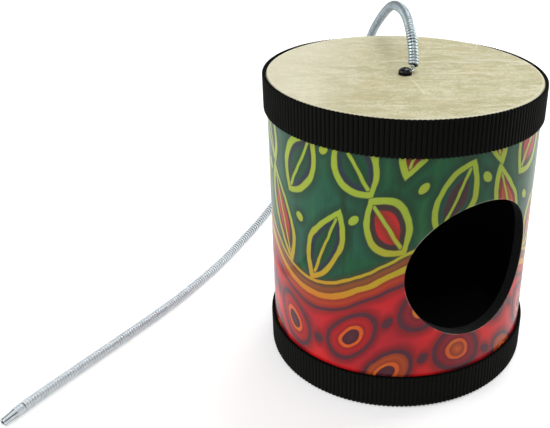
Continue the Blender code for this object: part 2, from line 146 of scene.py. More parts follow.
# Heights of the arch are measured from the film, the others from the lying spring's middle.
ARCH_ROUTE = [
    (3.8, -0.6, 9.0), (5.0, 2.5, 14.4), (6.7, 6.9, 18.7), (9.2, 13.1, 22.4), (12.3, 21.0, 24.9),
    (16.1, 30.8, 25.6), (20.5, 41.9, 24.7), (25.3, 54.0, 22.5), (30.8, 68.0, 17.8), (37.5, 85.0, 9.8),
    (44.8, 103.5, -0.2), (51.3, 120.1, -10.2),
]
TABLE_ROUTE = [
    (60.0, 144.0, 136.0), (64.5, 163.0, 111.0), (62.5, 178.5, 83.0), (54.5, 190.5, 55.0),
    (41.5, 197.5, 30.5), (25.0, 199.0, 13.0), (8.0, 193.0, 3.8), (-8.5, 180.0, 0.4),
    (-25.0, 163.7, 0.0), (-42.5, 147.5, 0.0), (-66.5, 126.0, 0.0), (-92.5, 106.0, 0.0),
    (-111.0, 93.3, 0.0), (-141.5, 75.2, 0.0), (-169.5, 59.7, 0.0), (-197.5, 44.3, 0.0),
    (-217.0, 32.8, 0.0), (-225.5, 27.0, 0.0),
]
print(f"{1 + len(ARCH_ROUTE) + len(TABLE_ROUTE)} points from the hook to the tip")

# %% A smooth curve through the points
def smooth_route(points, samples):
    """Even samples of the natural cubic spline through a list of points, and its length."""
    knots = np.array(points)
    spans = np.linalg.norm(np.diff(knots, axis=0), axis=1)
    places = np.concatenate([[0.0], np.cumsum(spans)])
    count = len(knots)
    system = np.eye(count)
    bends = np.zeros((count, 3))
    for k in range(1, count - 1):
        system[k, k - 1:k + 2] = spans[k - 1], 2 * (spans[k - 1] + spans[k]), spans[k]
        bends[k] = 6 * ((knots[k + 1] - knots[k]) / spans[k] - (knots[k] - knots[k - 1]) / spans[k - 1])
    moments = np.linalg.solve(system, bends)
    where = np.linspace(0.0, places[-1], samples)
    left = np.clip(np.searchsorted(places, where, side="right") - 1, 0, count - 2)
    span = spans[left][:, None]
    before = (where - places[left])[:, None]
    after = span - before
    curve = (moments[left] * after ** 3 + moments[left + 1] * before ** 3) / (6 * span)
    curve += (knots[left] / span - moments[left] * span / 6) * after
    curve += (knots[left + 1] / span - moments[left + 1] * span / 6) * before
    lengths = np.concatenate([[0.0], np.cumsum(np.linalg.norm(np.diff(curve, axis=0), axis=1))])
    even = np.linspace(0.0, lengths[-1], samples)
    return np.stack([np.interp(even, lengths, curve[:, k]) for k in range(3)], axis=1), lengths[-1]


arch = [(x * MM, y * MM, z * MM + FILM_TOP) for x, y, z in ARCH_ROUTE]
table = [(x * MM, y * MM, z * MM + LYING_HEIGHT) for x, y, z in TABLE_ROUTE]
route, route_length = smooth_route([tuple(PIVOT)] + arch + table, ROUTE_SAMPLES)
print(f"route {route_length / MM:.1f} mm long")

# %% [markdown]
# ## Frames along the route
# To wind wire round a curve we need, at each step, the way ahead and two directions square to it.
# If the two side directions were worked out afresh at each step they could flip over where the
# curve bends back, so each is carried on from the one before and only turned as far as it must.

# %% Carry the side directions along
def unit_rows(vectors):
    """The same vectors, each of length 1."""
    return vectors / np.linalg.norm(vectors, axis=1)[:, None]


def carried_frames(curve):
    """Tangent and two side vectors at each point of a curve, turning as little as they can."""
    tangents = unit_rows(np.gradient(curve, axis=0))
    sides = np.zeros_like(tangents)
    side = np.array([1.0, 0.0, 0.0])
    for k, tangent in enumerate(tangents):
        side = side - tangent * side.dot(tangent)
        side /= np.linalg.norm(side)
        sides[k] = side
    return tangents, sides, np.cross(tangents, sides)


stations = np.linspace(0.0, route_length, ROUTE_SAMPLES)
route_ahead, route_side, route_up = carried_frames(route)


def along_route(values, at):
    """Read vectors that belong to the route's samples at given distances along it."""
    return np.stack([np.interp(at, stations, values[:, k]) for k in range(3)], axis=1)


print(f"directions at {len(stations)} places along the route")

# %% [markdown]
# ## Meshes from grids
# Wire, webbing, film and tube are all grids of points that close on themselves one way or both.
# One helper lists a grid's faces and another turns points and faces into an object, so each piece
# below only has to say where its points are.

# %% Helpers for grids of points
SMOOTH_ANGLE = math.radians(38)


def grid_faces(rows, columns, close_rows=False, close_columns=True):
    """Quads between neighbouring points of a grid that is stored row by row."""
    faces = []
    for r in range(rows if close_rows else rows - 1):
        after = (r + 1) % rows
        for c in range(columns if close_columns else columns - 1):
            beside = (c + 1) % columns
            faces.append((r * columns + c, r * columns + beside,
                          after * columns + beside, after * columns + c))
    return faces


def end_cap(ring, sides):
    """The face that closes a tube of points at one of its rings."""
    return [ring * sides + k for k in range(sides)]


def shade(mesh):
    """Smooth shading that stops at sharp edges."""
    mesh.shade_smooth()
    mesh.set_sharp_from_angle(angle=SMOOTH_ANGLE)


def add_piece(name, points, faces, merge=0.0, rim_faces=0):
    """A smooth-shaded mesh object. Its last faces, the rims, take the second material slot."""
    mesh = bpy.data.meshes.new(name)
    mesh.from_pydata(np.asarray(points).reshape(-1, 3).tolist(), [], faces)
    for face in mesh.polygons[len(faces) - rim_faces:]:
        face.material_index = 1
    shape = bmesh.new()
    shape.from_mesh(mesh)
    if merge:
        bmesh.ops.remove_doubles(shape, verts=shape.verts, dist=merge)
    bmesh.ops.recalc_face_normals(shape, faces=shape.faces)
    shape.to_mesh(mesh)
    shape.free()
    shade(mesh)
    return new_object(name, mesh)


def dress(piece, body, node):
    """Let a piece ride on its body and stand for its solid."""
    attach(piece, body)
    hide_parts(node)
    print(f"{piece.name}: {len(piece.data.polygons)} faces, stands for {node}")


# %% [markdown]
# ## Winding the spring
# The real spring is one wire wound nearly close, more open where its own weight pulls the turns
# apart: at the head, and where it hangs behind the drum. A Screw modifier could wind it along a
# straight axis, but not along a bending one. So the number of turns up to each point is added up
# from the pitch there, and the wire is swung round the route by that angle. Each ring of the wire
# takes its directions from the coil itself, which keeps the wire from twisting. Light runs along the
# real spring in one unbroken line, so its wire must be flat on the outside: the section is a
# superellipse, nearly square. The faces in the grooves between turns go last, because they get a
# darker finish, which paints the shade between the turns.

# %% Wind the wire
WIRE_RADIUS = 0.69 * MM
COIL_RADIUS = SPRING_RADIUS - WIRE_RADIUS
TIP_LENGTH = 12.5 * MM
# Places along the route and the turns' spacing there, in millimetres.
TURN_SPACING = [(0, 1.76), (62, 1.52), (190, 1.52), (300, 2.9), (400, 2.9), (441, 2.4), (490, 2.0),
                (525, 1.75), (640, 1.63)]
PITCH_SAMPLES = 20000
STEPS_PER_TURN = 16
FIRST_STRETCH = 0.4            # of a turn, in which the wire swings out to its full reach
WIRE_SIDES = 16
OUTER_SIDES = 6                # of these, the ones on the outside of the coil
WIRE_SQUARE = 0.6              # 1 is a round section, less is a squarer one
WIRE_HALF_WIDTH = 0.82 * MM    # along the spring
CLOSED = 0.485                 # of the pitch, the most that a half width takes up
WOUND_LEFT = -1                # the coil is wound left-handed
START = math.pi                # the first turn leaves the hook away from where the spring swings


def smooth_step(value, low, high):
    """A soft step from 0 to 1 while a value goes from low to high."""
    share = np.clip((value - low) / (high - low), 0.0, 1.0)
    return share * share * (3 - 2 * share)


wire_end = route_length - TIP_LENGTH
fine = np.linspace(0.0, wire_end, PITCH_SAMPLES)
places, spacing = np.array(TURN_SPACING).T * MM
pitch = np.interp(fine, places, spacing)
turns_up_to = np.concatenate([[0.0], np.cumsum(np.diff(fine) / pitch[:-1])])
turn_count = turns_up_to[-1]
turns = np.linspace(0.0, turn_count, int(turn_count * STEPS_PER_TURN))
at = np.interp(turns, turns_up_to, fine)
swing = COIL_RADIUS * smooth_step(turns, 0.0, FIRST_STRETCH)
angle = START + WOUND_LEFT * 2 * math.pi * turns
outward = np.cos(angle)[:, None] * along_route(route_side, at)
outward += np.sin(angle)[:, None] * along_route(route_up, at)
wire_line = along_route(route, at) + swing[:, None] * outward
print(f"{turn_count:.0f} turns of {2 * WIRE_RADIUS / MM:.1f} mm wire")

# %% Put a section on the wire
def squared(value):
    """A sine or cosine drawn out towards -1 and 1, which makes a superellipse of a circle."""
    return math.copysign(abs(value) ** WIRE_SQUARE, value)


wire_ahead = unit_rows(np.gradient(wire_line, axis=0))
across = unit_rows(np.cross(wire_ahead, outward))
away = np.cross(across, wire_ahead)
half_width = np.minimum(WIRE_HALF_WIDTH, CLOSED * np.interp(at, fine, pitch))[:, None]
rings = []
for k in range(WIRE_SIDES):
    around = 2 * math.pi * k / WIRE_SIDES
    out = WIRE_RADIUS * squared(math.cos(around))
    along = half_width * squared(math.sin(around))
    rings.append(wire_line + out * away + along * across)
wire_points = np.stack(rings, axis=1)
# Faces off the outside of the coil get the darker finish that paints the shade in the grooves.
outer = []
grooves = [end_cap(0, WIRE_SIDES), end_cap(len(wire_line) - 1, WIRE_SIDES)]
for k, face in enumerate(grid_faces(len(wire_line), WIRE_SIDES)):
    side = (k + OUTER_SIDES // 2) % WIRE_SIDES
    (outer if side < OUTER_SIDES else grooves).append(face)
wound_spring = add_piece("wound_spring", wire_points, outer + grooves, rim_faces=len(grooves))
dress(wound_spring, "spring", "coil_spring")

# %% [markdown]
# ## The pressed tip
# The free end is pressed to a taper: the last stretch narrows, creases run along it, and the last
# turns still show as faint ridges. It is a loft, a row of rings along the route whose radius is
# changed by three terms: the taper, the creases and the ridges. A small mouth is left in its end,
# as in the end of a pressed tube.

# %% Loft the tip
TIP_END_RADIUS = 2.45 * MM
TIP_PRESSED = (0.1, 0.9)       # along the tip, where the pressing starts and where it is full
TIP_SMOOTHED = (0.3, 0.9)      # the same for the pressing that smooths the ridges away
TIP_CREASE = 0.34              # depth at the end, as a share of the radius
TIP_CREASE_ANGLE = 0.2         # half width of a crease, in radians
TIP_CREASE_COUNT = 6
TIP_FIRST_CREASE = -1.01       # where the first one runs, in radians from the top
TIP_RIDGE = 0.07 * MM
TIP_MOUTH = 0.7 * MM           # depth of the mouth
TIP_MOUTH_SHARE = 0.42         # of the end's width, that the mouth takes up
TIP_RINGS = 60
TIP_SIDES = 96


def off_crease(around):
    """Angle from a place round the tip to the nearest crease."""
    return math.remainder(around - TIP_FIRST_CREASE, 2 * math.pi / TIP_CREASE_COUNT)


tip_rings = []
share = np.linspace(0.0, 1.0, TIP_RINGS)
tip_at = wire_end + TIP_LENGTH * share
middle = along_route(route, tip_at)
ahead = along_route(route_ahead, tip_at)
beside = unit_rows(np.cross(ahead, (0.0, 0.0, 1.0)))
above = np.cross(beside, ahead)
pressed = smooth_step(share, *TIP_PRESSED)
ridge = TIP_RIDGE * np.cos(2 * math.pi * TIP_LENGTH * share / pitch[-1])
ridge *= 1 - smooth_step(share, *TIP_SMOOTHED)
tip_radius = SPRING_RADIUS - TIP_RIDGE + (TIP_END_RADIUS - SPRING_RADIUS) * pressed + ridge
for k in range(TIP_SIDES):
    around = 2 * math.pi * k / TIP_SIDES - math.pi
    crease = TIP_CREASE * pressed * math.exp(-(off_crease(around) / TIP_CREASE_ANGLE) ** 2)
    reach = (tip_radius * (1 - crease))[:, None]
    tip_rings.append(middle + reach * (math.sin(around) * beside + math.cos(around) * above))
tip_points = np.stack(tip_rings, axis=1)
mouth = middle[-1] + (tip_points[-1] - middle[-1]) * TIP_MOUTH_SHARE
tip_points = np.concatenate([tip_points, mouth[None], (mouth - ahead[-1] * TIP_MOUTH)[None]])
print(f"tip narrows from {2 * SPRING_RADIUS / MM:.1f} to {2 * TIP_END_RADIUS / MM:.1f} mm")

# %% Tell the creases, which get painted shade, from the rest of the tip
TIP_CREASE_SHARE = 0.75        # of a crease's width that gets the grooves' painted shade
TIP_CREASE_START = 0.35        # along the tip

outer = [end_cap(0, TIP_SIDES)]
grooves = [end_cap(len(tip_points) - 1, TIP_SIDES)]
for k, face in enumerate(grid_faces(len(tip_points), TIP_SIDES)):
    ring, side = divmod(k, TIP_SIDES)
    around = 2 * math.pi * (side + 0.5) / TIP_SIDES - math.pi
    near_crease = abs(off_crease(around)) < TIP_CREASE_SHARE * TIP_CREASE_ANGLE
    creased = near_crease and ring > TIP_CREASE_START * TIP_RINGS
    # Creased faces and the mouth get the grooves' darker finish, which is painted shade.
    (grooves if creased or ring >= TIP_RINGS else outer).append(face)
pressed_tip = add_piece("pressed_tip", tip_points, outer + grooves, rim_faces=len(grooves))
dress(pressed_tip, "spring", "crimped_tip")

print(f"spring {wire_end / MM:.1f} mm from hook to tip")

# %% [markdown]
# ## The hook
# The wire's other end goes round the fastener's shank under the dome, comes out through a notch and
# turns up beside it. A bevelled curve does this well: its points run round most of a circle, then
# along a tangent and up a small quarter bend. Its round top sits where the spring's wire begins, so
# the two read as one wire however the spring swings.

# %% Bend the hook
SHANK_RADIUS = 1.5 * MM
EYE_RADIUS = SHANK_RADIUS + 0.85 * MM     # to the middle of the wire
EYE_HEIGHT = FILM_TOP + 1.15 * MM
EYE_TURN = math.radians(300)
EYE_STEPS = 40
HOOK_BEND = 1.5 * MM
BEND_STEPS = 12
CAP_STEPS = 6
HOOK_ROUNDNESS = 4             # Blender's steps in a quarter of the wire's section

hook_way = PIVOT.xy - ANCHOR.xy
exit_heading = math.atan2(hook_way.y, hook_way.x) - math.acos(EYE_RADIUS / hook_way.length)
hook_points = []
for k in range(EYE_STEPS + 1):
    turn = exit_heading - EYE_TURN + EYE_TURN * k / EYE_STEPS
    hook_points.append(Vector((ANCHOR.x + EYE_RADIUS * math.cos(turn),
                               ANCHOR.y + EYE_RADIUS * math.sin(turn), EYE_HEIGHT)))
exit_way = Vector((PIVOT.x, PIVOT.y, EYE_HEIGHT)) - hook_points[-1]
exit_way.normalize()
bend_centre = Vector((PIVOT.x, PIVOT.y, EYE_HEIGHT + HOOK_BEND)) - exit_way * HOOK_BEND
upright = Vector((0, 0, 1))
for k in range(BEND_STEPS + 1):
    turn = math.pi / 2 * k / BEND_STEPS
    hook_points.append(bend_centre + HOOK_BEND * (exit_way * math.sin(turn) - upright * math.cos(turn)))
hook_radii = [1.0] * len(hook_points)
for k in range(CAP_STEPS):
    turn = math.pi / 2 * k / CAP_STEPS
    hook_points.append(PIVOT + upright * WIRE_RADIUS * math.sin(turn))
    hook_radii.append(math.cos(turn))
print(f"hook leaves the shank at {math.degrees(exit_heading):.0f} degrees")

# %% Sweep the hook's wire
def final_mesh(piece):
    """A new mesh of what a piece's curve settings or modifiers make of it."""
    bpy.context.view_layer.update()
    return bpy.data.meshes.new_from_object(piece.evaluated_get(bpy.context.evaluated_depsgraph_get()))


hook_curve = bpy.data.curves.new("wire_hook", "CURVE")
hook_curve.dimensions = "3D"
hook_curve.bevel_depth = WIRE_RADIUS
hook_curve.bevel_resolution = HOOK_ROUNDNESS
hook_curve.use_fill_caps = True
hook_spline = hook_curve.splines.new("POLY")
hook_spline.points.add(len(hook_points) - 1)
for point, place, radius in zip(hook_spline.points, hook_points, hook_radii):
    point.co = (*place, 1.0)
    point.radius = radius
hook_spline.use_smooth = True
swept = new_object("hook_sweep", hook_curve)
hook_mesh = final_mesh(swept)
bpy.data.objects.remove(swept)
wire_hook = new_object("wire_hook", hook_mesh)
dress(wire_hook, "anchor", "spring_hook")

# %% [markdown]
# ## The tube and its wrap
# Both are round walls with a round hole through one side. A Boolean would leave long thin faces
# round the hole, and gloss shows those as streaks. Instead the columns of the grid are spaced so
# that they meet the hole's edge on its own circle, and each column is split into a stretch below
# the hole and one above. Away from the hole the two stretches meet and are merged.

# %% Build a wall with a hole
HOLE_STEPS = 96
BACK_STEPS = 200
WALL_ROWS = 22
MERGE = 0.002 * MM


def wall_columns(radius, low, high, hole_radius, seam):
    """Columns of points on a round wall: up to the hole's lower edge, then on from its upper one."""
    sweep = np.linspace(-math.pi / 2, math.pi / 2, HOLE_STEPS + 1)
    front = np.arcsin(hole_radius * np.sin(sweep) / radius)
    half_gap = hole_radius * np.cos(sweep)
    back = np.linspace(front[-1], math.pi - seam / radius / 2, BACK_STEPS // 2 + 1)[1:]
    headings = np.concatenate([-back[::-1], front, back])
    half_gap = np.concatenate([np.zeros(len(back)), half_gap, np.zeros(len(back))])
    share = np.linspace(0.0, 1.0, WALL_ROWS + 1)
    below = low + np.outer(HOLE_HEIGHT - half_gap - low, share)
    over = HOLE_HEIGHT + half_gap[:, None] + np.outer(high - HOLE_HEIGHT - half_gap, share)
    heights = np.concatenate([below, over], axis=1)
    flat = np.stack([radius * np.sin(headings), -radius * np.cos(headings)], axis=1)
    level = np.repeat(flat[:, None, :], heights.shape[1], axis=1)
    return np.concatenate([level, heights[:, :, None]], axis=2)


def holed_wall(name, outside, inside, low, high, hole_radius, seam=0.0):
    """A closed wall with a hole, cut open along a seam at the back if the seam has a width."""
    skins = np.stack([wall_columns(outside, low, high, hole_radius, seam),
                      wall_columns(inside, low, high, hole_radius, seam)])
    count = skins.shape[1]
    rows = skins.shape[2]
    stretches = [*range(WALL_ROWS), *range(WALL_ROWS + 1, rows - 1)]
    faces = []
    rims = []

    def corner(skin, column, row):
        return (skin * count + column) * rows + row

    for c in range(count - 1):
        for skin in (0, 1):
            for r in stretches:
                faces.append((corner(skin, c, r), corner(skin, c + 1, r),
                              corner(skin, c + 1, r + 1), corner(skin, c, r + 1)))
        edges = [0, rows - 1]
        if BACK_STEPS // 2 <= c < count - 1 - BACK_STEPS // 2:
            edges += [WALL_ROWS, WALL_ROWS + 1]
        for r in edges:
            rims.append((corner(0, c, r), corner(0, c + 1, r), corner(1, c + 1, r), corner(1, c, r)))
    if seam:
        for c in (0, count - 1):
            for r in stretches:
                rims.append((corner(0, c, r), corner(1, c, r),
                             corner(1, c, r + 1), corner(0, c, r + 1)))
    return add_piece(name, skins, faces + rims, MERGE, len(rims))


# %% Make the tube and the wrap
WRAP_THICKNESS = 0.3 * MM
WRAP_SEAM = 0.6 * MM
WRAP_HOLE_MARGIN = 0.2 * MM
TUBE_EDGE = 0.35 * MM          # softened edges of the board


def soften_edges(piece, width):
    """Round off the sharp edges of a piece with a Bevel modifier."""
    soften = piece.modifiers.new("softened edges", "BEVEL")
    soften.width = width
    soften.segments = 2
    soften.limit_method = "ANGLE"


board_tube = holed_wall("board_tube", TUBE_RADIUS, TUBE_INSIDE, tube_low.z, tube_high.z, HOLE_RADIUS)
soften_edges(board_tube, TUBE_EDGE)
dress(board_tube, "drum", "shell")
printed_wrap = holed_wall("printed_wrap", WRAP_RADIUS, WRAP_RADIUS - WRAP_THICKNESS, wrap_low.z,
                          wrap_high.z, HOLE_RADIUS + WRAP_HOLE_MARGIN, WRAP_SEAM)
dress(printed_wrap, "drum", "shell_wrap")

# %% [markdown]
# ## The head
# The head is a film that is drawn over the tube's edge and folded down its outside. It is a turned
# shape: an outline in the radius and height plane, repeated round an axis. The outline runs out
# along the upper face, round the fold, down the skirt and back along the underside, and the film is
# drawn down a hair where the fastener pulls on it. The fastener isn't quite in the middle, so the
# rings of points move from its axis to the drum's as they get wider.

# %% Turn an outline round the axis
def turned(name, outline, steps, closed=True, aside=1.0):
    """A piece made by turning an outline of (radius, height) about an upright axis.

    Where aside is 0 the axis is the drum's, where it is 1 the fastener's. It may differ by point.
    """
    section = np.array(outline)
    headings = np.linspace(0.0, 2 * math.pi, steps, endpoint=False)
    points = np.zeros((steps, len(section), 3))
    points[:, :, 0] = np.outer(np.cos(headings), section[:, 0]) + ANCHOR.x * np.asarray(aside)
    points[:, :, 1] = np.outer(np.sin(headings), section[:, 0]) + ANCHOR.y * np.asarray(aside)
    points[:, :, 2] = section[:, 1]
    faces = grid_faces(steps, len(section), close_rows=True, close_columns=closed)
    return add_piece(name, points, faces, MERGE)


# %% Make the head
FILM_THICKNESS = 0.3 * MM
FILM_FOLD = 1.6 * MM           # outer radius of the fold
FOLD_STEPS = 10
SCREW_HOLE = SHANK_RADIUS + FIT
PULL_DEPTH = 0.15 * MM
PULL_REACH = 9.0 * MM
HEAD_STEPS = 240
HEAD_RINGS = 35
HEAD_RING_GROWTH = 1.6         # more than 1 puts the rings closer together near the fastener

fold_reach = SKIRT_RADIUS - FILM_FOLD
fold_height = FILM_TOP - FILM_FOLD


def fold_arc(radius):
    """Quarter of a circle round the fold's middle, from its top to its outer side."""
    turns = np.linspace(0.0, math.pi / 2, FOLD_STEPS + 1)
    return [(fold_reach + radius * math.sin(t), fold_height + radius * math.cos(t)) for t in turns]


widening = np.linspace(0.0, 1.0, HEAD_RINGS + 1)[:-1] ** HEAD_RING_GROWTH
reaches = SCREW_HOLE + (fold_reach - SCREW_HOLE) * widening
upper = [(r, FILM_TOP - PULL_DEPTH * math.exp(-(r / PULL_REACH) ** 2)) for r in reaches]
skirt_foot = [(SKIRT_RADIUS, head_low.z), (SKIRT_RADIUS - FILM_THICKNESS, head_low.z)]
under = [(r, z - FILM_THICKNESS) for r, z in upper]
outline = upper + fold_arc(FILM_FOLD) + skirt_foot
outline += fold_arc(FILM_FOLD - FILM_THICKNESS)[::-1] + under[::-1]
centred = np.zeros(len(outline) - 2 * len(upper))
aside = np.concatenate([1 - widening, centred, (1 - widening)[::-1]])
film_head = turned("film_head", outline, HEAD_STEPS, aside=aside)
dress(film_head, "drum", "drum_head")

# %% [markdown]
# ## The webbing
# The bands are ribbed webbing: thick cords run across the width and show as upright ribs, and where
# they turn back at the edges the edge is scalloped. A bump map would leave the outline smooth, so
# the ribs are modelled. A rounded section goes round the drum in small steps, and its outer face
# and edges are pushed in between one rib and the next. The two ends meet at the back, cut with a
# hot knife, so the ribs fade out and the webbing gets thin there.

# %% Shape of the webbing's section
WEB_ROUND = 0.75 * MM          # rounding of the edges
WEB_ROUND_STEPS = 5
WEB_FACE_STEPS = 10
WEB_BACK_PUSH = 0.5            # of a rib's push, that the edges of the back get


def webbing_section(thickness, width):
    """Points of the section as (outwards, upwards), with the direction each is pushed by a rib."""
    points = []
    pushes = []
    top = width / 2 - WEB_ROUND
    for sign in (1, -1):
        for k in range(WEB_ROUND_STEPS + 1):
            turn = math.pi / 2 * (k / WEB_ROUND_STEPS if sign < 0 else 1 - k / WEB_ROUND_STEPS)
            out = math.cos(turn)
            up = sign * math.sin(turn)
            points.append((thickness - WEB_ROUND + WEB_ROUND * out, sign * top + WEB_ROUND * up))
            pushes.append((out, up))
        if sign > 0:
            for k in range(1, WEB_FACE_STEPS):
                points.append((thickness, top - 2 * top * k / WEB_FACE_STEPS))
                pushes.append((1.0, 0.0))
    points += [(0.0, -width / 2), (0.0, width / 2)]
    pushes += [(0.0, -WEB_BACK_PUSH), (0.0, WEB_BACK_PUSH)]
    return np.array(points), np.array(pushes)


# %% Wind a ribbed band round the drum
BAND_THICKNESS = 1.6 * MM
RIBS = 196
STEPS_PER_RIB = 8
RIB_DEPTH = 0.6 * MM
RIB_POWER = 0.55               # less than 1 makes full ribs with narrow grooves
BAND_SEAM = 0.6 * MM
HOT_CUT = 1.6 * MM             # stretch at each end that the hot knife has sealed
HOT_CUT_FLAT = 0.2             # of that stretch, the share that is flat
HOT_CUT_THIN = 0.45 * MM
BAND_SWAY = 0.12 * MM          # how far the band wanders up and down
SWAY_WAVES = (3, 7)            # slow and quick waves of that in one round
QUICK_SHARE = 0.6              # height of the quick waves beside the slow ones
BACK_HEADING = math.radians(56)           # where a band sags most
SAG_POWER = 4                  # the higher, the shorter the stretch that sags


def ribbed_band(name, node, sway_phase, proud, sag):
    """Webbing whose ribs stand proud of its solid, and that sags at the back of the drum."""
    low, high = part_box(node)
    outside = high.x
    inside = outside - BAND_THICKNESS
    section, push = webbing_section(BAND_THICKNESS, high.z - low.z)
    steps = RIBS * STEPS_PER_RIB
    half_seam = BAND_SEAM / outside / 2
    headings = np.linspace(math.pi / 2 + half_seam, 5 * math.pi / 2 - half_seam, steps + 1)
    rib = np.abs(np.sin(math.pi * RIBS * np.linspace(0.0, 1.0, steps + 1))) ** RIB_POWER
    to_end = outside * np.minimum(headings - headings[0], headings[-1] - headings)
    sealed = 1 - smooth_step(to_end, HOT_CUT_FLAT * HOT_CUT, HOT_CUT)
    move = proud - RIB_DEPTH * (1 - rib) * (1 - sealed) - HOT_CUT_THIN * sealed
    slow = np.sin(SWAY_WAVES[0] * headings + sway_phase)
    quick = np.sin(SWAY_WAVES[1] * headings + 2 * sway_phase)
    sway = BAND_SWAY * (slow + QUICK_SHARE * quick) / (1 + QUICK_SHARE)
    behind = np.clip(np.cos(headings - BACK_HEADING), 0.0, 1.0)
    sway -= sag * behind ** SAG_POWER
    reach = inside + section[None, :, 0] + move[:, None] * push[None, :, 0]
    height = (low.z + high.z) / 2 + section[None, :, 1] + move[:, None] * push[None, :, 1]
    points = np.stack([reach * np.cos(headings)[:, None], reach * np.sin(headings)[:, None],
                       height + sway[:, None]], axis=2)
    columns = len(section)
    ends = [end_cap(0, columns), end_cap(steps, columns)]
    band = add_piece(name, points, grid_faces(steps + 1, columns) + ends)
    dress(band, "drum", node)
    return band


top_webbing = ribbed_band("top_webbing", "top_band", sway_phase=0.4, proud=0.02 * MM, sag=1.37 * MM)
bottom_webbing = ribbed_band("bottom_webbing", "bottom_band", sway_phase=1.7, proud=0.3 * MM, sag=0.0)

# %% [markdown]
# ## The fastener
# A domed black screw goes through the film near its middle. Its dome is hollow underneath, where the
# wire's eye sits, and has a cross recess on top and a notch at the side for the wire. The round form
# is turned, and the recess and the notch are cut with Booleans, which is fine here because they
# meet the dome at hard edges anyway.

# %% Cut shapes out of a piece
def tapered_box(length, width, depth, placed, taper=1.0):
    """A box whose lower face is smaller by a taper, used as a cutter."""
    shape = bmesh.new()
    bmesh.ops.create_cube(shape, size=1.0, matrix=Matrix.Diagonal((length, width, depth, 1.0)))
    for corner in shape.verts:
        if corner.co.z < 0:
            corner.co.xy *= taper
    shape.transform(placed)
    mesh = bpy.data.meshes.new("cutter")
    shape.to_mesh(mesh)
    shape.free()
    return new_object("cutter", mesh)


def carve(piece, cutters):
    """Cut shapes out of a piece for good, and remove the cutters."""
    for cutter in cutters:
        step = piece.modifiers.new("carve", "BOOLEAN")
        step.operation = "DIFFERENCE"
        step.object = cutter
    carved = final_mesh(piece)
    piece.modifiers.clear()
    piece.data = carved
    shade(carved)
    for cutter in cutters:
        bpy.data.objects.remove(cutter)


# %% Make the domed screw
DOME_RADIUS = 3.75 * MM
DOME_HEIGHT = 3.4 * MM
DOME_SKIRT = 1.2 * MM          # straight lower part
DOME_WALL = 0.65 * MM
DOME_BITE = 0.05 * MM          # how far its edge is pressed into the film
DOME_STEPS = 96
DOME_ARC_STEPS = 16
RECESS_LENGTH = 3.4 * MM
RECESS_WIDTH = 0.9 * MM
RECESS_DEPTH = 1.2 * MM
RECESS_TAPER = 0.6
RECESS_TURNS = (math.radians(45), math.radians(135))
EDGE_SOFT = 0.09 * MM
THREAD_PITCH = 0.5 * MM
THREAD_DEPTH = 0.22 * MM
THREAD_START = 2.0 * MM        # below the film's upper face

screw_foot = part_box("anchor_screw")[0].z
dome_low = FILM_TOP - DOME_BITE
dome_top = FILM_TOP + FIT + DOME_HEIGHT
shoulder = FILM_TOP + FIT + DOME_SKIRT
hollow_top = EYE_HEIGHT + WIRE_RADIUS + FIT / 2
outline = []
for t in np.linspace(0.0, math.pi / 2, DOME_ARC_STEPS + 1):
    outline.append((DOME_RADIUS * math.sin(t), shoulder + (dome_top - shoulder) * math.cos(t)))
outline += [(DOME_RADIUS, dome_low), (DOME_RADIUS - DOME_WALL, dome_low),
            (DOME_RADIUS - DOME_WALL, hollow_top), (SHANK_RADIUS, hollow_top)]
thread_top = FILM_TOP - THREAD_START
thread_turns = int((thread_top - screw_foot) / THREAD_PITCH)
for k in range(thread_turns):
    crest = thread_top - THREAD_PITCH * k
    outline += [(SHANK_RADIUS, crest), (SHANK_RADIUS - THREAD_DEPTH, crest - THREAD_PITCH / 2)]
outline += [(SHANK_RADIUS - THREAD_DEPTH, screw_foot), (0.0, screw_foot)]
domed_screw = turned("domed_screw", outline, DOME_STEPS, closed=False)
print(f"screw {(dome_top - screw_foot) / MM:.1f} mm high with {thread_turns} turns of thread")

# %% Cut the recess and the notch
cutters = []
for turn in RECESS_TURNS:
    placed = Matrix.Translation((ANCHOR.x, ANCHOR.y, dome_top)) @ Matrix.Rotation(turn, 4, "Z")
    cutters.append(tapered_box(RECESS_LENGTH, RECESS_WIDTH, 2 * RECESS_DEPTH, placed, RECESS_TAPER))
notch_middle = hook_points[EYE_STEPS] + exit_way * (WIRE_RADIUS + DOME_RADIUS)
notch_top = hollow_top - FIT / 2
notch_low = dome_low - FIT
placed = Matrix.Translation((notch_middle.x, notch_middle.y, (notch_low + notch_top) / 2))
placed @= Matrix.Rotation(math.atan2(exit_way.y, exit_way.x), 4, "Z")
notch_width = 2 * WIRE_RADIUS + FIT
cutters.append(tapered_box(2 * DOME_RADIUS, notch_width, notch_top - notch_low, placed))
carve(domed_screw, cutters)
soften_edges(domed_screw, EDGE_SOFT)
dress(domed_screw, "anchor", "anchor_screw")

# %% [markdown]
# ## Under the film
# A fibre patch, a washer and a nut hold the screw from below. They only show through the sound hole,
# but they are there when the drum is turned over, so they get their soft edges and, on the nut, the
# cone that is cut on its corners.

# %% Make the patch and the washer
RING_EDGE = 0.15 * MM


def flat_ring(name, body, node):
    """A ring round the screw, as wide and thick as its solid, with small chamfers on its edges."""
    low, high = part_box(node)
    outside = (high.x - low.x) / 2
    outline = [(outside - RING_EDGE, high.z), (outside, high.z - RING_EDGE),
               (outside, low.z + RING_EDGE), (outside - RING_EDGE, low.z),
               (SCREW_HOLE + RING_EDGE, low.z), (SCREW_HOLE, low.z + RING_EDGE),
               (SCREW_HOLE, high.z - RING_EDGE), (SCREW_HOLE + RING_EDGE, high.z)]
    ring = turned(name, outline, DOME_STEPS)
    dress(ring, body, node)
    return ring


fibre_disc = flat_ring("fibre_disc", "drum", "fibre_patch")
steel_washer = flat_ring("steel_washer", "anchor", "backing_washer")

# %% Make the nut
NUT_STEPS = 96
NUT_SECTOR = math.pi / 3       # of the turn, that one flat takes up
NUT_CONE = math.radians(30)
NUT_FACE = 0.96                # of its width across flats, the width of its round face

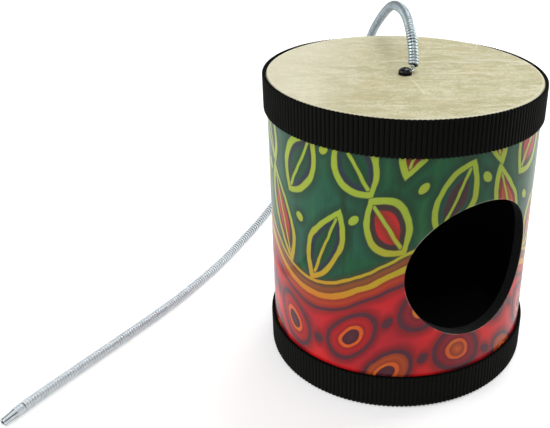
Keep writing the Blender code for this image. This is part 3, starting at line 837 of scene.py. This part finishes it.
nut_low, nut_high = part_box("lock_nut")
nut_flat = (nut_high.y - nut_low.y) / 2
headings = np.linspace(0.0, 2 * math.pi, NUT_STEPS, endpoint=False)
nut_side = nut_flat / np.cos((headings + NUT_SECTOR / 2) % NUT_SECTOR - NUT_SECTOR / 2)
nut_corner = (nut_side - NUT_FACE * nut_flat) * math.tan(NUT_CONE)
face_radius = np.full(NUT_STEPS, NUT_FACE * nut_flat)
bore = np.full(NUT_STEPS, SCREW_HOLE)
nut_foot = np.full(NUT_STEPS, nut_low.z)
nut_top = np.full(NUT_STEPS, nut_high.z)
rows = [(bore, nut_foot), (face_radius, nut_foot), (nut_side, nut_foot + nut_corner),
        (nut_side, nut_top - nut_corner), (face_radius, nut_top), (bore, nut_top)]
reach = np.stack([row[0] for row in rows], axis=1)
height = np.stack([row[1] for row in rows], axis=1)
points = np.stack([ANCHOR.x + reach * np.cos(headings)[:, None],
                   ANCHOR.y + reach * np.sin(headings)[:, None], height], axis=2)
hex_nut = add_piece("hex_nut", points, grid_faces(NUT_STEPS, len(rows), close_rows=True))
dress(hex_nut, "anchor", "lock_nut")

# %% [markdown]
# ## Writing finishes as formulas
# A finish is a formula for every point of a surface. Blender shows it as a web of nodes, which is
# hard to read in a script. A small class helps: a Field wraps one output of a node, and adding or
# multiplying fields in Python adds the Math nodes. A plain number is set on the node's own input.

# %% Fields
class Field:
    """A value at every point of a surface. Sums and products of fields add Math nodes."""

    def __init__(self, socket):
        self.socket = socket

    def __add__(self, other):
        return maths("ADD", self, other)

    def __sub__(self, other):
        return maths("SUBTRACT", self, other)

    def __rsub__(self, other):
        return maths("SUBTRACT", other, self)

    def __mul__(self, other):
        return maths("MULTIPLY", self, other)

    def __truediv__(self, other):
        return maths("DIVIDE", self, other)

    __radd__ = __add__
    __rmul__ = __mul__


def plug(port, value):
    """Link a field to a node's input, or set the input to a plain value."""
    if isinstance(value, Field):
        port.id_data.links.new(value.socket, port)
    else:
        port.default_value = value


def add_node(values, kind):
    """A new node in the tree that the fields among some values belong to."""
    tree = next(value.socket.id_data for value in values if isinstance(value, Field))
    return tree.nodes.new(kind)


def maths(operation, *values):
    """The result of a Math node that takes some values."""
    node = add_node(values, "ShaderNodeMath")
    node.operation = operation
    for port, value in zip(node.inputs, values):
        plug(port, value)
    return Field(node.outputs[0])


def hypot(x, y):
    """Distance from zero of a place at x and y."""
    return maths("SQRT", x * x + y * y)


# %% Shapes for fields: steps, mixes, noise and relief
def rise(value, low, high, start=0.0, end=1.0):
    """A smooth step from start to end while the value goes from low to high."""
    node = add_node([value], "ShaderNodeMapRange")
    node.interpolation_type = "SMOOTHSTEP"
    for port, given in zip(node.inputs, (value, low, high, start, end)):
        plug(port, given)
    return Field(node.outputs[0])


def mixed(share, first, second):
    """A colour between two others."""
    node = add_node([share], "ShaderNodeMix")
    node.data_type = "RGBA"
    for port, given in zip((node.inputs[0], node.inputs[6], node.inputs[7]), (share, first, second)):
        plug(port, given)
    return Field(node.outputs[2])


def noise(place, scale, detail=2.0, roughness=0.5, twist=0.0):
    """Soft random values between 0 and 1, scale times in each metre, with twisted shapes if wanted."""
    node = add_node([place], "ShaderNodeTexNoise")
    plug(node.inputs["Vector"], place)
    plug(node.inputs["Scale"], scale)
    plug(node.inputs["Detail"], detail)
    plug(node.inputs["Roughness"], roughness)
    plug(node.inputs["Distortion"], twist)
    return Field(node.outputs["Fac"])


def stretched(place, stretch, turn=0.0):
    """Places in a frame that is turned about Z and drawn out, so that a noise becomes streaks."""
    node = add_node([place], "ShaderNodeMapping")
    node.vector_type = "TEXTURE"
    plug(node.inputs["Vector"], place)
    node.inputs["Rotation"].default_value = (0.0, 0.0, turn)
    node.inputs["Scale"].default_value = stretch
    return Field(node.outputs["Vector"])


def relief(height, depth):
    """The surface's normal, tilted as if it rose by depth where the height field is 1."""
    node = add_node([height], "ShaderNodeBump")
    node.inputs["Distance"].default_value = depth
    plug(node.inputs["Height"], height)
    return Field(node.outputs["Normal"])


def parts(place):
    """The X, Y and Z of a place, as three fields in millimetres."""
    node = add_node([place], "ShaderNodeSeparateXYZ")
    plug(node.inputs[0], place)
    return [Field(output) * (1 / MM) for output in node.outputs]


# %% Start a finish
def paint(red, green, blue):
    """A colour from its screen values, 0 to 255."""
    linear = []
    for part in (red, green, blue):
        share = part / 255
        linear.append(share / 12.92 if share <= 0.04045 else ((share + 0.055) / 1.055) ** 2.4)
    return (*linear, 1.0)


def new_finish(name, **constants):
    """A material, its shader and the place field. Constants go straight to the shader's inputs."""
    material = bpy.data.materials.new(name)
    material.use_nodes = True
    shader = material.node_tree.nodes["Principled BSDF"]
    for socket, value in constants.items():
        shader.inputs[socket.replace("_", " ")].default_value = value
    place = material.node_tree.nodes.new("ShaderNodeTexCoord")
    return material, shader.inputs, Field(place.outputs["Object"])


def coat_piece(piece, *materials):
    """Give a piece its materials in the order of its slots. Clearing the old ones resets each face."""
    slots = [face.material_index for face in piece.data.polygons]
    piece.data.materials.clear()
    for material in materials:
        piece.data.materials.append(material)
    piece.data.polygons.foreach_set("material_index", slots)


# %% [markdown]
# ## Bright wire
# The spring is plated steel with a cold tint. Plating that nobody touches grows a thin pale film, so
# the lying stretch is only half a metal to the shader, and the drum hardly mirrors in it. The upper
# stretch is bare metal, and its colour is painted darker there, most of all where it runs over the
# rim: a painted reflection of a darker room. Colour and roughness drift along the wire, and drawing it
# has left fine lines. The grooves are dull grey, which is painted shade between the turns with some
# dirt.

# %% Spring steel
UPPER_STRETCH = (60.0, 160.0)        # millimetres above the table, over which the pale film gives way to bare metal with a painted darker reflection
OVER_RIM = (15.0, 55.0)        # millimetres behind the axis, over which the painted dark reflection grows
WANDER = 20.0                  # millimetres by which both limits wander


def bright_wire():
    """Plated wire with a pale film where it lies, and bare metal painted darker for its reflections
    above.
    """
    material, shader, place = new_finish("bright_wire", Specular_IOR_Level=0.5)
    drift = noise(place, 260.0, 3.0)
    grain = noise(place, 5200.0, 2.0)
    y, z = parts(place)[1:]
    upper_stretch = rise(z + drift * WANDER, *UPPER_STRETCH)
    over_rim_reflection = upper_stretch * rise(y + drift * WANDER, *OVER_RIM)
    patchy = rise(drift, 0.3, 0.7)
    fresh = mixed(patchy, paint(202, 211, 217), paint(215, 222, 227))
    painted_dark_upper = mixed(patchy, paint(156, 168, 173), paint(174, 186, 190))
    painted_darker_over_rim = mixed(patchy, paint(106, 120, 126), paint(130, 144, 150))
    # The upper stretch, and most of all its part over the rim, is painted darker: a painted reflection
    # of a darker room.
    plug(shader["Base Color"], mixed(over_rim_reflection, mixed(upper_stretch, fresh, painted_dark_upper), painted_darker_over_rim))
    satin = rise(drift + grain * 0.3, 0.4, 0.9, 0.4, 0.46)
    plug(shader["Roughness"], satin - upper_stretch * 0.04 - over_rim_reflection * 0.18)
    plug(shader["Metallic"], upper_stretch * 0.5 + 0.5)
    plug(shader["Normal"], relief(grain, 0.006 * MM))
    return material


def groove_shade_and_dirt():
    """The same wire in the grooves, dull grey as painted shade with some dirt."""
    material, shader, place = new_finish("groove_shade_and_dirt", Metallic=1.0)
    dirt = noise(place, 900.0, 4.0)
    # This grey is painted shade in the grooves and creases, with a little dirt.
    tone = mixed(rise(dirt, 0.35, 0.65), paint(112, 118, 122), paint(144, 150, 153))
    plug(shader["Base Color"], tone)
    plug(shader["Roughness"], rise(dirt, 0.3, 0.7, 0.5, 0.65))
    return material


spring_steel = bright_wire()
groove_shade_steel = groove_shade_and_dirt()
for piece in (wound_spring, pressed_tip):
    coat_piece(piece, spring_steel, groove_shade_steel)
coat_piece(wire_hook, spring_steel)
print("bright wire on the spring, its tip and its hook")

# %% [markdown]
# ## Plain zinc and gloss black
# The washer and the nut are dull zinc: a metal too, but greyer and rougher than the wire. The domed
# screw is blackened and shiny. Black paint is no metal to the eye: nearly all that shows is the
# reflection on top, so its base is almost black and a clear coat makes the small bright highlights.
# Towards the film the coat is rubbed dull.

# %% Washer, nut and screw
COAT_RUBBED = (1.0, 2.0)       # millimetres above the film, over which the coat gets its gloss


def dull_zinc():
    """Zinc with a grey bloom."""
    material, shader, place = new_finish("dull_zinc", Metallic=1.0)
    bloom = noise(place, 900.0, 4.0)
    tone = mixed(rise(bloom, 0.35, 0.65), paint(168, 172, 176), paint(196, 198, 200))
    plug(shader["Base Color"], tone)
    plug(shader["Roughness"], rise(bloom, 0.3, 0.7, 0.34, 0.5))
    plug(shader["Normal"], relief(bloom, 0.02 * MM))
    return material


def gloss_black():
    """Black paint under a clear coat, a little dusty."""
    material, shader, place = new_finish("gloss_black", Specular_IOR_Level=0.03, Coat_IOR=1.42,
                                         Coat_Roughness=0.03)
    dust = noise(place, 2600.0, 3.0)
    above_film = parts(place)[2] - FILM_TOP / MM
    plug(shader["Coat Weight"], rise(above_film, *COAT_RUBBED, 0.15, 0.7))
    plug(shader["Base Color"], mixed(rise(dust, 0.5, 0.8), paint(6, 6, 7), paint(18, 18, 18)))
    plug(shader["Roughness"], rise(dust, 0.3, 0.8, 0.22, 0.5))
    plug(shader["Normal"], relief(noise(place, 1400.0, 2.0), 0.01 * MM))
    return material


zinc = dull_zinc()
coat_piece(steel_washer, zinc)
coat_piece(hex_nut, zinc)
coat_piece(domed_screw, gloss_black())
print("zinc on the washer and the nut, gloss black on the screw")

# %% [markdown]
# ## Board and fibre
# The tube and the bottom are pressed board, painted matt black. Where the hole is cut through the
# wall, the layers of the board show as faint lines that follow the tube, in a dark greenish grey.
# A layer is a distance from the axis, so a sine of that distance draws the lines by itself. The patch
# under the film is vulcanised fibre, a dense dark red card.

# %% Black board and its cut edge
LAYER_THICKNESS = 0.55         # millimetres


def stripes(value, pitch):
    """From 0 to 1 and back to 0, once in each pitch."""
    return maths("SINE", value * (2 * math.pi / pitch)) * 0.5 + 0.5


def black_board():
    """Matt paint on upright fibres."""
    material, shader, place = new_finish("black_board", Specular_IOR_Level=0.25)
    fibres = noise(stretched(place, (1.0, 1.0, 5.0)), 1500.0, 4.0)
    plug(shader["Base Color"], mixed(rise(fibres, 0.35, 0.75), paint(7, 7, 7), paint(20, 20, 19)))
    plug(shader["Roughness"], rise(fibres, 0.2, 0.8, 0.72, 0.92))
    plug(shader["Normal"], relief(fibres, 0.06 * MM))
    return material


def cut_board():
    """The board's layers where a knife has cut across them."""
    material, shader, place = new_finish("cut_board", Specular_IOR_Level=0.3)
    x, y = parts(place)[:2]
    ragged = noise(place, 700.0, 4.0)
    layers = stripes(hypot(x, y) + ragged * 0.5, LAYER_THICKNESS)
    plug(shader["Base Color"], mixed(layers * 0.7 + ragged * 0.3, paint(3, 6, 5), paint(12, 18, 16)))
    plug(shader["Roughness"], rise(ragged, 0.2, 0.8, 0.6, 0.85))
    plug(shader["Normal"], relief(layers + ragged, 0.05 * MM))
    return material


def red_fibre():
    """Dense card with strands that run one way."""
    material, shader, place = new_finish("red_fibre", Specular_IOR_Level=0.3)
    strands = noise(stretched(place, (6.0, 1.0, 1.0), 0.4), 1100.0, 4.0)
    plug(shader["Base Color"], mixed(rise(strands, 0.3, 0.7), paint(74, 34, 28), paint(104, 50, 40)))
    plug(shader["Roughness"], rise(strands, 0.2, 0.8, 0.6, 0.8))
    plug(shader["Normal"], relief(strands, 0.05 * MM))
    return material


board = black_board()
coat_piece(board_tube, board, cut_board())
coat_piece(fibre_disc, red_fibre())
coat_piece(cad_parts["bottom_disc"], board)
print("board on the tube and the bottom, fibre on the patch")

# %% [markdown]
# ## Webbing
# The ribs are already in the mesh. What is left for the finish is smaller: painted shade, near-black,
# deep in the grooves between the ribs, the thread that crosses each rib about twice in a millimetre,
# lint, and the soft rim of light that cloth has at its edges, which the shader calls sheen.

# %% Black webbing
WEB_THREAD_PITCH = 0.55        # millimetres
OUTER_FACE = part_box("top_band")[1].x / MM
GROOVE_DEPTH = 0.55            # millimetres behind the outer face, below which the grooves get painted shade


def black_webbing():
    """Cloth with painted shade in the grooves between its ribs, which are a little paler."""
    material, shader, place = new_finish("black_webbing", Specular_IOR_Level=0.05, Sheen_Weight=0.01,
                                         Sheen_Roughness=0.5)
    x, y, z = parts(place)
    unshaded_crown = rise(hypot(x, y), OUTER_FACE - GROOVE_DEPTH, OUTER_FACE)
    lint = noise(place, 1800.0, 3.0)
    threads = stripes(z + lint * 0.25, WEB_THREAD_PITCH)
    thread = mixed(threads * 0.5 + lint * 0.5, paint(7, 8, 6), paint(19, 20, 17))
    # The grooves are painted near-black, as painted shade where the ribs hide them from the light.
    plug(shader["Base Color"], mixed(unshaded_crown, paint(2, 2, 2), thread))
    plug(shader["Roughness"], rise(lint, 0.2, 0.8, 0.7, 0.95))
    plug(shader["Normal"], relief(threads * 0.6 + lint * 0.6, 0.12 * MM))
    return material


webbing = black_webbing()
coat_piece(top_webbing, webbing)
coat_piece(bottom_webbing, webbing)
print("webbing on both bands")

# %% [markdown]
# ## Parchment film
# The head is a synthetic film that is printed to look like skin: cream, with pale streaks that all
# run one way, darker cloudy patches and a fine fleck. It is paler in a ring where it lies on the
# tube's edge, and a faint crease runs out from the fastener. Streaks are noise in a frame that is
# drawn out along them.

# %% Head
STREAK_TURN = math.radians(-32)
PALE_RING = (73.9, 75.0)       # millimetres from the axis, where the film turns paler
PALE_SIDE = (-0.82, 0.57)      # the way towards the paler side of the head
CREASE_START = (-4.2, -7.7)    # millimetres, where the crease leaves the fastener
CREASE_END = (-14.8, -43.1)


def distance_to_line(x, y, start, end):
    """Distance to a straight line between two points, and how far along it, from 0 to 1."""
    way = (end[0] - start[0], end[1] - start[1])
    along = ((x - start[0]) * way[0] + (y - start[1]) * way[1]) * (1 / (way[0] ** 2 + way[1] ** 2))
    near = maths("MINIMUM", maths("MAXIMUM", along, 0.0), 1.0)
    return hypot(x - start[0] - near * way[0], y - start[1] - near * way[1]), near


def parchment():
    """Cream film under layers of streaks, patches and flecks, each with its own colour."""
    material, shader, place = new_finish("parchment", Specular_IOR_Level=0.35)
    x, y = parts(place)[:2]
    clouds = noise(stretched(place, (1.6, 1.0, 1.0), STREAK_TURN), 48.0, 5.0, 0.62, 0.6)
    streaks = noise(stretched(place, (2.4, 1.0, 1.0), STREAK_TURN + 0.25), 130.0, 6.0, 0.7, 1.4)
    mottle = noise(stretched(place, (1.4, 1.0, 1.0), STREAK_TURN - 0.5), 300.0, 6.0, 0.72, 0.8)
    fibres = noise(stretched(place, (7.0, 1.0, 1.0), STREAK_TURN + 0.1), 150.0, 3.0, 0.55, 0.7)
    blush = noise(place, 34.0, 5.0, 0.65, 0.8)
    fleck = noise(place, 850.0, 4.0, 0.6)
    to_pale_side = x * PALE_SIDE[0] + y * PALE_SIDE[1] + clouds * 30.0
    # Field, the values at which a layer begins and is full, its strength and its colour.
    layers = (
        (streaks + clouds * 0.35, (0.56, 0.8), 0.85, paint(210, 206, 174)),
        (blush, (0.48, 0.72), 0.4, paint(201, 182, 141)),
        (mottle, (0.44, 0.62), 0.45, paint(166, 155, 109)),
        (fibres, (0.58, 0.7), 0.6, paint(224, 221, 197)),
        (fleck, (0.44, 0.64), 0.35, paint(160, 149, 106)),
        (to_pale_side, (25.0, 80.0), 0.55, paint(226, 222, 198)),
        (hypot(x, y), PALE_RING, 0.5, paint(224, 220, 194)),
    )
    tone = mixed(rise(clouds, 0.3, 0.7), paint(175, 170, 128), paint(191, 186, 147))
    for field, limits, strength, colour in layers:
        tone = mixed(rise(field, *limits) * strength, tone, colour)
    gap, along = distance_to_line(x + (streaks - 0.5) * 3.0, y, CREASE_START, CREASE_END)
    crease = rise(gap, 0.15, 0.7, 1.0, 0.0) * rise(along, 0.1, 0.3) * rise(along, 0.7, 1.0, 1.0, 0.0)
    tone = mixed(crease * 0.45, tone, paint(236, 230, 205))
    plug(shader["Base Color"], tone)
    plug(shader["Roughness"], rise(fleck, 0.2, 0.8, 0.42, 0.6))
    plug(shader["Normal"], relief(fleck * 0.3 + mottle * 0.5 + crease * 0.8, 0.05 * MM))
    return material


coat_piece(film_head, parchment())
print("parchment on the head")

# %% [markdown]
# ## A print for the wrap
# The wrap is a glossy film printed in strong colours, green above and red below, with bold outlines.
# The design here is our own: a wave runs round the drum, leaves grow above it and rings float below.
# Everything is measured as a distance in millimetres on the unrolled film, along it as u and up it
# as v. Taking v from the wave makes the rows follow it. A distance that is below zero inside a shape
# gives its fill, its outline and the dark watery halo beside the outline.

# %% Places on the unrolled film
WRAP_ROUND = 2 * math.pi * WRAP_RADIUS / MM
WAVE_COUNT = 3
WAVE_HEIGHT = 17.0
WAVE_MIDDLE = 80.0
WAVE_PHASE = 2.16
HAND_WOBBLE = 3.2              # millimetres, how unsteady the drawing is
WOBBLE_SCALE = 60.0            # how often it wavers in a metre
WOBBLE_TURN = 1.3              # radians, which make the wobble up and down another one


def unrolled(place):
    """u round the film, v above the wave and the height, in millimetres with a hand's wobble."""
    x, y, z = parts(place)
    u = maths("ARCTAN2", x, y * -1.0) * (WRAP_RADIUS / MM)
    u = u + (noise(place, WOBBLE_SCALE) - 0.5) * HAND_WOBBLE
    elsewhere = stretched(place, (1.0, 1.0, 1.0), WOBBLE_TURN)
    height = z + (noise(elsewhere, WOBBLE_SCALE) - 0.5) * HAND_WOBBLE
    wave = maths("SINE", u * (2 * math.pi * WAVE_COUNT / WRAP_ROUND) + WAVE_PHASE)
    return u, height - wave * WAVE_HEIGHT - WAVE_MIDDLE, height


def row_cell(u, count, shift):
    """For a row of motifs round the film: place across the nearest one, and its number."""
    period = WRAP_ROUND / count
    cell = u / period + shift
    number = maths("FLOOR", cell)
    return (cell - number - 0.5) * period, number


def chance(number, seed):
    """A random value between 0 and 1 that belongs to a number."""
    node = add_node([number], "ShaderNodeTexWhiteNoise")
    node.noise_dimensions = "1D"
    plug(node.inputs["W"], number + seed)
    return Field(node.outputs["Value"])


# %% Motifs as distances
LEAF_COUNT = 14
LEAF_HALF_LENGTH = 21.0
LEAF_HALF_WIDTH = 9.5
LEAF_LEAN = math.radians(24)
RING_COUNT = 12
RING_RADIUS = 13.5


def nearest_leaf(u, v, middle, shift):
    """Distance to a leaf's outline, below zero inside, distance to its vein, and its number."""
    along, number = row_cell(u, LEAF_COUNT, shift)
    lean = maths("FLOORED_MODULO", number, 2.0) * 2.0 - 1.0
    up = v - middle
    side = along * math.cos(LEAF_LEAN) - up * lean * math.sin(LEAF_LEAN)
    rise_along = along * lean * math.sin(LEAF_LEAN) + up * math.cos(LEAF_LEAN)
    share = rise_along / LEAF_HALF_LENGTH
    slope = rise_along * (2 * LEAF_HALF_WIDTH / LEAF_HALF_LENGTH ** 2)
    edge = maths("ABSOLUTE", side) - (1.0 - share * share) * LEAF_HALF_WIDTH
    return edge / maths("SQRT", slope * slope + 1.0), maths("ABSOLUTE", side), number


def nearest_ring(u, v, middle, shift):
    """Distance from the middle of the nearest ring in a row, and its number."""
    along, number = row_cell(u, RING_COUNT, shift)
    return hypot(along, v - middle), number


# %% Layers of paint
PRINT_SOFT = 0.35              # millimetres, softness of a printed edge


def inside(distance):
    """1 inside a shape, 0 outside."""
    return rise(distance, -PRINT_SOFT, PRINT_SOFT, 1.0, 0.0)


def stroke(distance, width):
    """Distance to a drawn line of a width that follows a shape's outline."""
    return maths("ABSOLUTE", distance) - width / 2


def joined(distance, *others):
    """Distance to several shapes taken together, the least of theirs."""
    for other in others:
        distance = maths("MINIMUM", distance, other)
    return distance


def pick(share, colours):
    """One of some colours, by a random share."""
    tone = colours[0]
    for k, colour in enumerate(colours[1:], start=1):
        tone = mixed(maths("GREATER_THAN", share, k / len(colours)), tone, colour)
    return tone


PINE = paint(10, 76, 44)
OLIVE = paint(20, 48, 16)
GREEN = paint(44, 106, 30)
TEAL = paint(24, 82, 62)
NAVY = paint(44, 48, 72)
PLUM = paint(78, 34, 46)
CRIMSON = paint(160, 24, 40)
SCARLET = paint(204, 26, 28)
ORANGE = paint(204, 84, 26)
AMBER = paint(176, 148, 26)
LIME = paint(146, 166, 48)
GREEN_SHADE = paint(12, 40, 20)
RED_SHADE = paint(66, 14, 22)

# %% The ground of the print
GLOW = 13.0                    # millimetres beside the wave


def ground(place, v, water):
    """Green above the wave and red below it, with an orange glow on both sides."""
    patch = noise(place, 24.0, 2.0)
    above = mixed(rise(patch, 0.35, 0.65), PINE, TEAL)
    above = mixed(rise(water, 0.5, 0.8) * 0.8, above, GREEN)
    above = mixed(rise(water, 0.5, 0.25) * 0.8, above, OLIVE)
    below = mixed(rise(patch, 0.4, 0.7) * 0.8, SCARLET, CRIMSON)
    tone = mixed(inside(v), above, below)
    return mixed(rise(maths("ABSOLUTE", v), 1.0, GLOW, 0.75, 0.0), tone, ORANGE)


# %% Rows of leaves
LEAF_ROWS = ((30.0, 0.0, 3.0), (72.0, 0.5, 11.0))       # height above the wave, shift, seed
LEAF_FILLS = (PLUM, GREEN, SCARLET, NAVY, CRIMSON, TEAL)
LEAF_HEARTS = (SCARLET, NAVY, PLUM, PINE, ORANGE, PLUM)
LEAF_LINE = 3.0
LEAF_MARGIN = 4.2              # from a leaf's edge to its heart
VEIN_HALF_WIDTH = 0.8
VEIN_MARGIN = 2.0              # from a leaf's edge to the end of its vein
LEAF_DOT_RISE = 12.0           # from a row's middle to the dots between its leaves
LEAF_DOT_RADIUS = 2.6


def draw_leaves(u, v, tone):
    """Paint the leaves over a tone. The second result is a list of distances to their lines."""
    lines = []
    for middle, shift, seed in LEAF_ROWS:
        edge, vein, number = nearest_leaf(u, v, middle, shift)
        luck = chance(number, seed)
        tone = mixed(inside(edge), tone, pick(luck, LEAF_FILLS))
        tone = mixed(inside(edge + LEAF_MARGIN), tone, pick(luck, LEAF_HEARTS))
        to_dot = row_cell(u, LEAF_COUNT, shift + 0.5)[0]
        lines.append(stroke(edge, LEAF_LINE))
        lines.append(maths("MAXIMUM", vein - VEIN_HALF_WIDTH, edge + VEIN_MARGIN))
        lines.append(hypot(to_dot, v - middle - LEAF_DOT_RISE) - LEAF_DOT_RADIUS)
    return tone, lines


# %% Rows of rings
RING_ROWS = ((-28.0, 0.25, 5.0), (-62.0, 0.75, 23.0))
RING_FILLS = (CRIMSON, ORANGE, PLUM, SCARLET)
RING_HEARTS = (ORANGE, PLUM, SCARLET, PLUM)
RING_LINE = 2.6
THIN_LINE = 2.0
HEART_RADIUS = 5.5
HEART_LINE_RADIUS = 6.0
RING_DOT_RADIUS = 3.2


def draw_rings(u, v, tone):
    """Paint the rings over a tone. The other results are distances to bright and to dark lines."""
    lines = []
    dark_lines = []
    for middle, shift, seed in RING_ROWS:
        reach, number = nearest_ring(u, v, middle, shift)
        luck = chance(number, seed)
        tone = mixed(inside(reach - RING_RADIUS), tone, pick(luck, RING_FILLS))
        tone = mixed(inside(reach - HEART_RADIUS), tone, pick(luck, RING_HEARTS))
        to_dot = nearest_ring(u, v, middle, shift + 0.5)[0]
        lines.append(stroke(reach - HEART_LINE_RADIUS, THIN_LINE))
        dark_lines.append(stroke(reach - RING_RADIUS, RING_LINE))
        dark_lines.append(to_dot - RING_DOT_RADIUS)
    return tone, lines, dark_lines


# %% Compose the print
WAVE_LINE = 3.8
ECHO_GAP = 8.5                 # from the wave to the thin lines that follow it
HALO = 6.0                     # millimetres that a line's dark halo reaches
AMBER_RISE = (46.0, 84.0)      # heights over which the lines turn from orange to amber
LIME_RISE = (76.0, 116.0)      # and from amber to lime


def draw_print(place):
    """Colour of the print at each place of the wrap, and its watery noise."""
    u, v, height = unrolled(place)
    water = noise(stretched(place, (1.0, 1.0, 4.0)), 120.0, 4.0, 0.6)
    tone, leaf_lines = draw_leaves(u, v, ground(place, v, water))
    tone, ring_lines, ring_dark_lines = draw_rings(u, v, tone)
    lines = joined(stroke(v, WAVE_LINE), stroke(v - ECHO_GAP, THIN_LINE), *leaf_lines, *ring_lines)
    dark_lines = joined(stroke(v + ECHO_GAP, THIN_LINE), *ring_dark_lines)
    halo = rise(joined(lines, dark_lines), 0.2, HALO, 0.6, 0.0)
    tone = mixed(halo, tone, mixed(inside(v), GREEN_SHADE, RED_SHADE))
    tone = mixed(inside(dark_lines), tone, PLUM)
    bright = mixed(rise(height, *AMBER_RISE), ORANGE, AMBER)
    bright = mixed(rise(height, *LIME_RISE), bright, LIME)
    bright = mixed(rise(water, 0.45, 0.8) * 0.35, bright, AMBER)
    return mixed(inside(lines), tone, bright), water


# %% Printed film and its cut edge
WORN_EDGE = 0.45               # millimetres of bare pale film beside the hole


def printed_film():
    """The print under gloss, a little worn at the hole's edge."""
    material, shader, place = new_finish("printed_film", Specular_IOR_Level=0.05, Coat_Weight=0.34,
                                         Coat_Roughness=0.05)
    tone, water = draw_print(place)
    x, y, z = parts(place)
    drop = z - HOLE_HEIGHT / MM
    to_hole = hypot(x, drop) - (HOLE_RADIUS + WRAP_HOLE_MARGIN) / MM
    front = maths("LESS_THAN", y, 0.0)
    bare = rise(to_hole + (water - 0.5) * 0.5, 0.5 * WORN_EDGE, 1.4 * WORN_EDGE, 1.0, 0.0) * front
    worn = bare * rise(water, 0.4, 0.7) * 0.5
    plug(shader["Base Color"], mixed(worn, tone, paint(190, 178, 160)))
    plug(shader["Roughness"], rise(water, 0.2, 0.8, 0.3, 0.45))
    plug(shader["Normal"], relief(noise(place, 70.0, 2.0), 0.08 * MM))
    return material


def film_edge():
    """The film's cut edge."""
    material, shader, place = new_finish("film_edge", Specular_IOR_Level=0.4)
    cut = noise(place, 1500.0, 3.0)
    plug(shader["Base Color"], mixed(rise(cut, 0.3, 0.7), paint(64, 52, 46), paint(112, 96, 84)))
    plug(shader["Roughness"], rise(cut, 0.2, 0.8, 0.4, 0.6))
    return material


coat_piece(printed_wrap, printed_film(), film_edge())
print(f"print of {LEAF_COUNT} leaves and {RING_COUNT} rings a row, {WRAP_ROUND:.0f} mm round")

# %% [markdown]
# ## Floor and light
# The drum stands on a plain white floor in soft light. The world is white round the horizon where it
# is seen, directly or in a reflection, and dimmer as a lamp, so that colours come out as they are
# written. Overhead it is grey, as in a studio, so that metal and gloss have something dark to mirror.
# A soft lamp above the camera and two panels at the sides light the drum, and a strip lamp behind it
# on the right is what the lying spring mirrors as a bright line.

# %% Floor and world
FLOOR_RADIUS = 6.0             # metres
FLOOR_STEPS = 96
FLOOR_DROP = 0.1 * MM
FLOOR_LIFT = (0.34, 0.46)      # light added to the floor where it is seen, near and far off
FLOOR_FAR = (250.0, 900.0)     # millimetres from the axis, where near ends and far off begins
WORLD_DIFFUSE = 0.44
OVERHEAD = 0.42                # brightness of the world overhead where it is seen
OVERHEAD_RISE = (0.2, 0.75)    # upward part of a direction, from the horizon's to overhead


def seen_rays(tree):
    """1 for rays that come from the camera or that a gloss or glass surface sends on."""
    path = tree.nodes.new("ShaderNodeLightPath")
    share = Field(path.outputs["Is Camera Ray"])
    for name in ("Is Glossy Ray", "Is Transmission Ray"):
        share = maths("MAXIMUM", share, Field(path.outputs[name]))
    return share


def white_floor():
    """A wide white disc just under the drum, lifted to white where it is seen."""
    rim = [(FLOOR_RADIUS * math.cos(t), FLOOR_RADIUS * math.sin(t), -FLOOR_DROP)
           for t in np.linspace(0.0, 2 * math.pi, FLOOR_STEPS, endpoint=False)]
    floor = add_piece("floor", rim, [end_cap(0, FLOOR_STEPS)])
    material, shader, place = new_finish("white_floor", Specular_IOR_Level=0.0,
                                         Emission_Color=(1, 1, 1, 1))
    plug(shader["Base Color"], mixed(noise(place, 3.0), paint(236, 236, 236), paint(240, 240, 240)))
    x, y = parts(place)[:2]
    lift = rise(hypot(x, y), *FLOOR_FAR, *FLOOR_LIFT)
    plug(shader["Emission Strength"], seen_rays(material.node_tree) * lift)
    coat_piece(floor, material)
    return floor


white_floor()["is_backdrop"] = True
world = bpy.data.worlds.new("white_room")
world.use_nodes = True
bpy.context.scene.world = world
sky = world.node_tree.nodes["Background"]
sky.inputs["Color"].default_value = (1.0, 1.0, 1.0, 1.0)
outlook = world.node_tree.nodes.new("ShaderNodeTexCoord")
upward = parts(Field(outlook.outputs["Generated"]))[2] * MM
ceiling = rise(upward, *OVERHEAD_RISE, 1.0, OVERHEAD)
plug(sky.inputs["Strength"], seen_rays(world.node_tree) * (ceiling - WORLD_DIFFUSE) + WORLD_DIFFUSE)
print("white floor and world")

# %% Lamps
# Name, place and aim in metres, size in metres, power in watts.
LAMPS = (
    ("key_lamp", (-0.50, -0.85, 1.40), (0.0, 0.0, 0.1), (0.42, 0.42), 4.8),
    ("strip_lamp", (0.55, 0.42, 1.28), (-0.1, 0.05, 0.0), (0.5, 0.9), 7.2),
    ("right_panel", (0.85, -0.1, 0.35), (0.0, 0.0, 0.1), (0.35, 0.9), 5.0),
    ("left_panel", (-0.95, 0.2, 0.35), (0.0, 0.0, 0.1), (0.35, 0.8), 5.0),
)
for name, place, aim, size, power in LAMPS:
    lamp = bpy.data.lights.new(name, "AREA")
    lamp.shape = "RECTANGLE"
    lamp.size, lamp.size_y = size
    lamp.energy = power
    stand = new_object(name, lamp)
    stand.location = place
    stand.rotation_euler = (Vector(aim) - Vector(place)).to_track_quat("-Z", "Y").to_euler()
    stand.visible_camera = False
print(f"{len(LAMPS)} lamps")

# %% [markdown]
# ## The size
# Looks mustn't change the drum's size. Both boxes are printed, so that they can be compared: the box
# of the plain solids and the box of what is seen.

# %% Print the boxes
seen_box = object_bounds()
boxes = {"cad": [list(corner) for corner in cad_box], "visual": [list(corner) for corner in seen_box]}
for side in ("cad", "visual"):
    low, high = boxes[side]
    print(side, [round((b - a) / MM, 1) for a, b in zip(low, high)], "mm")
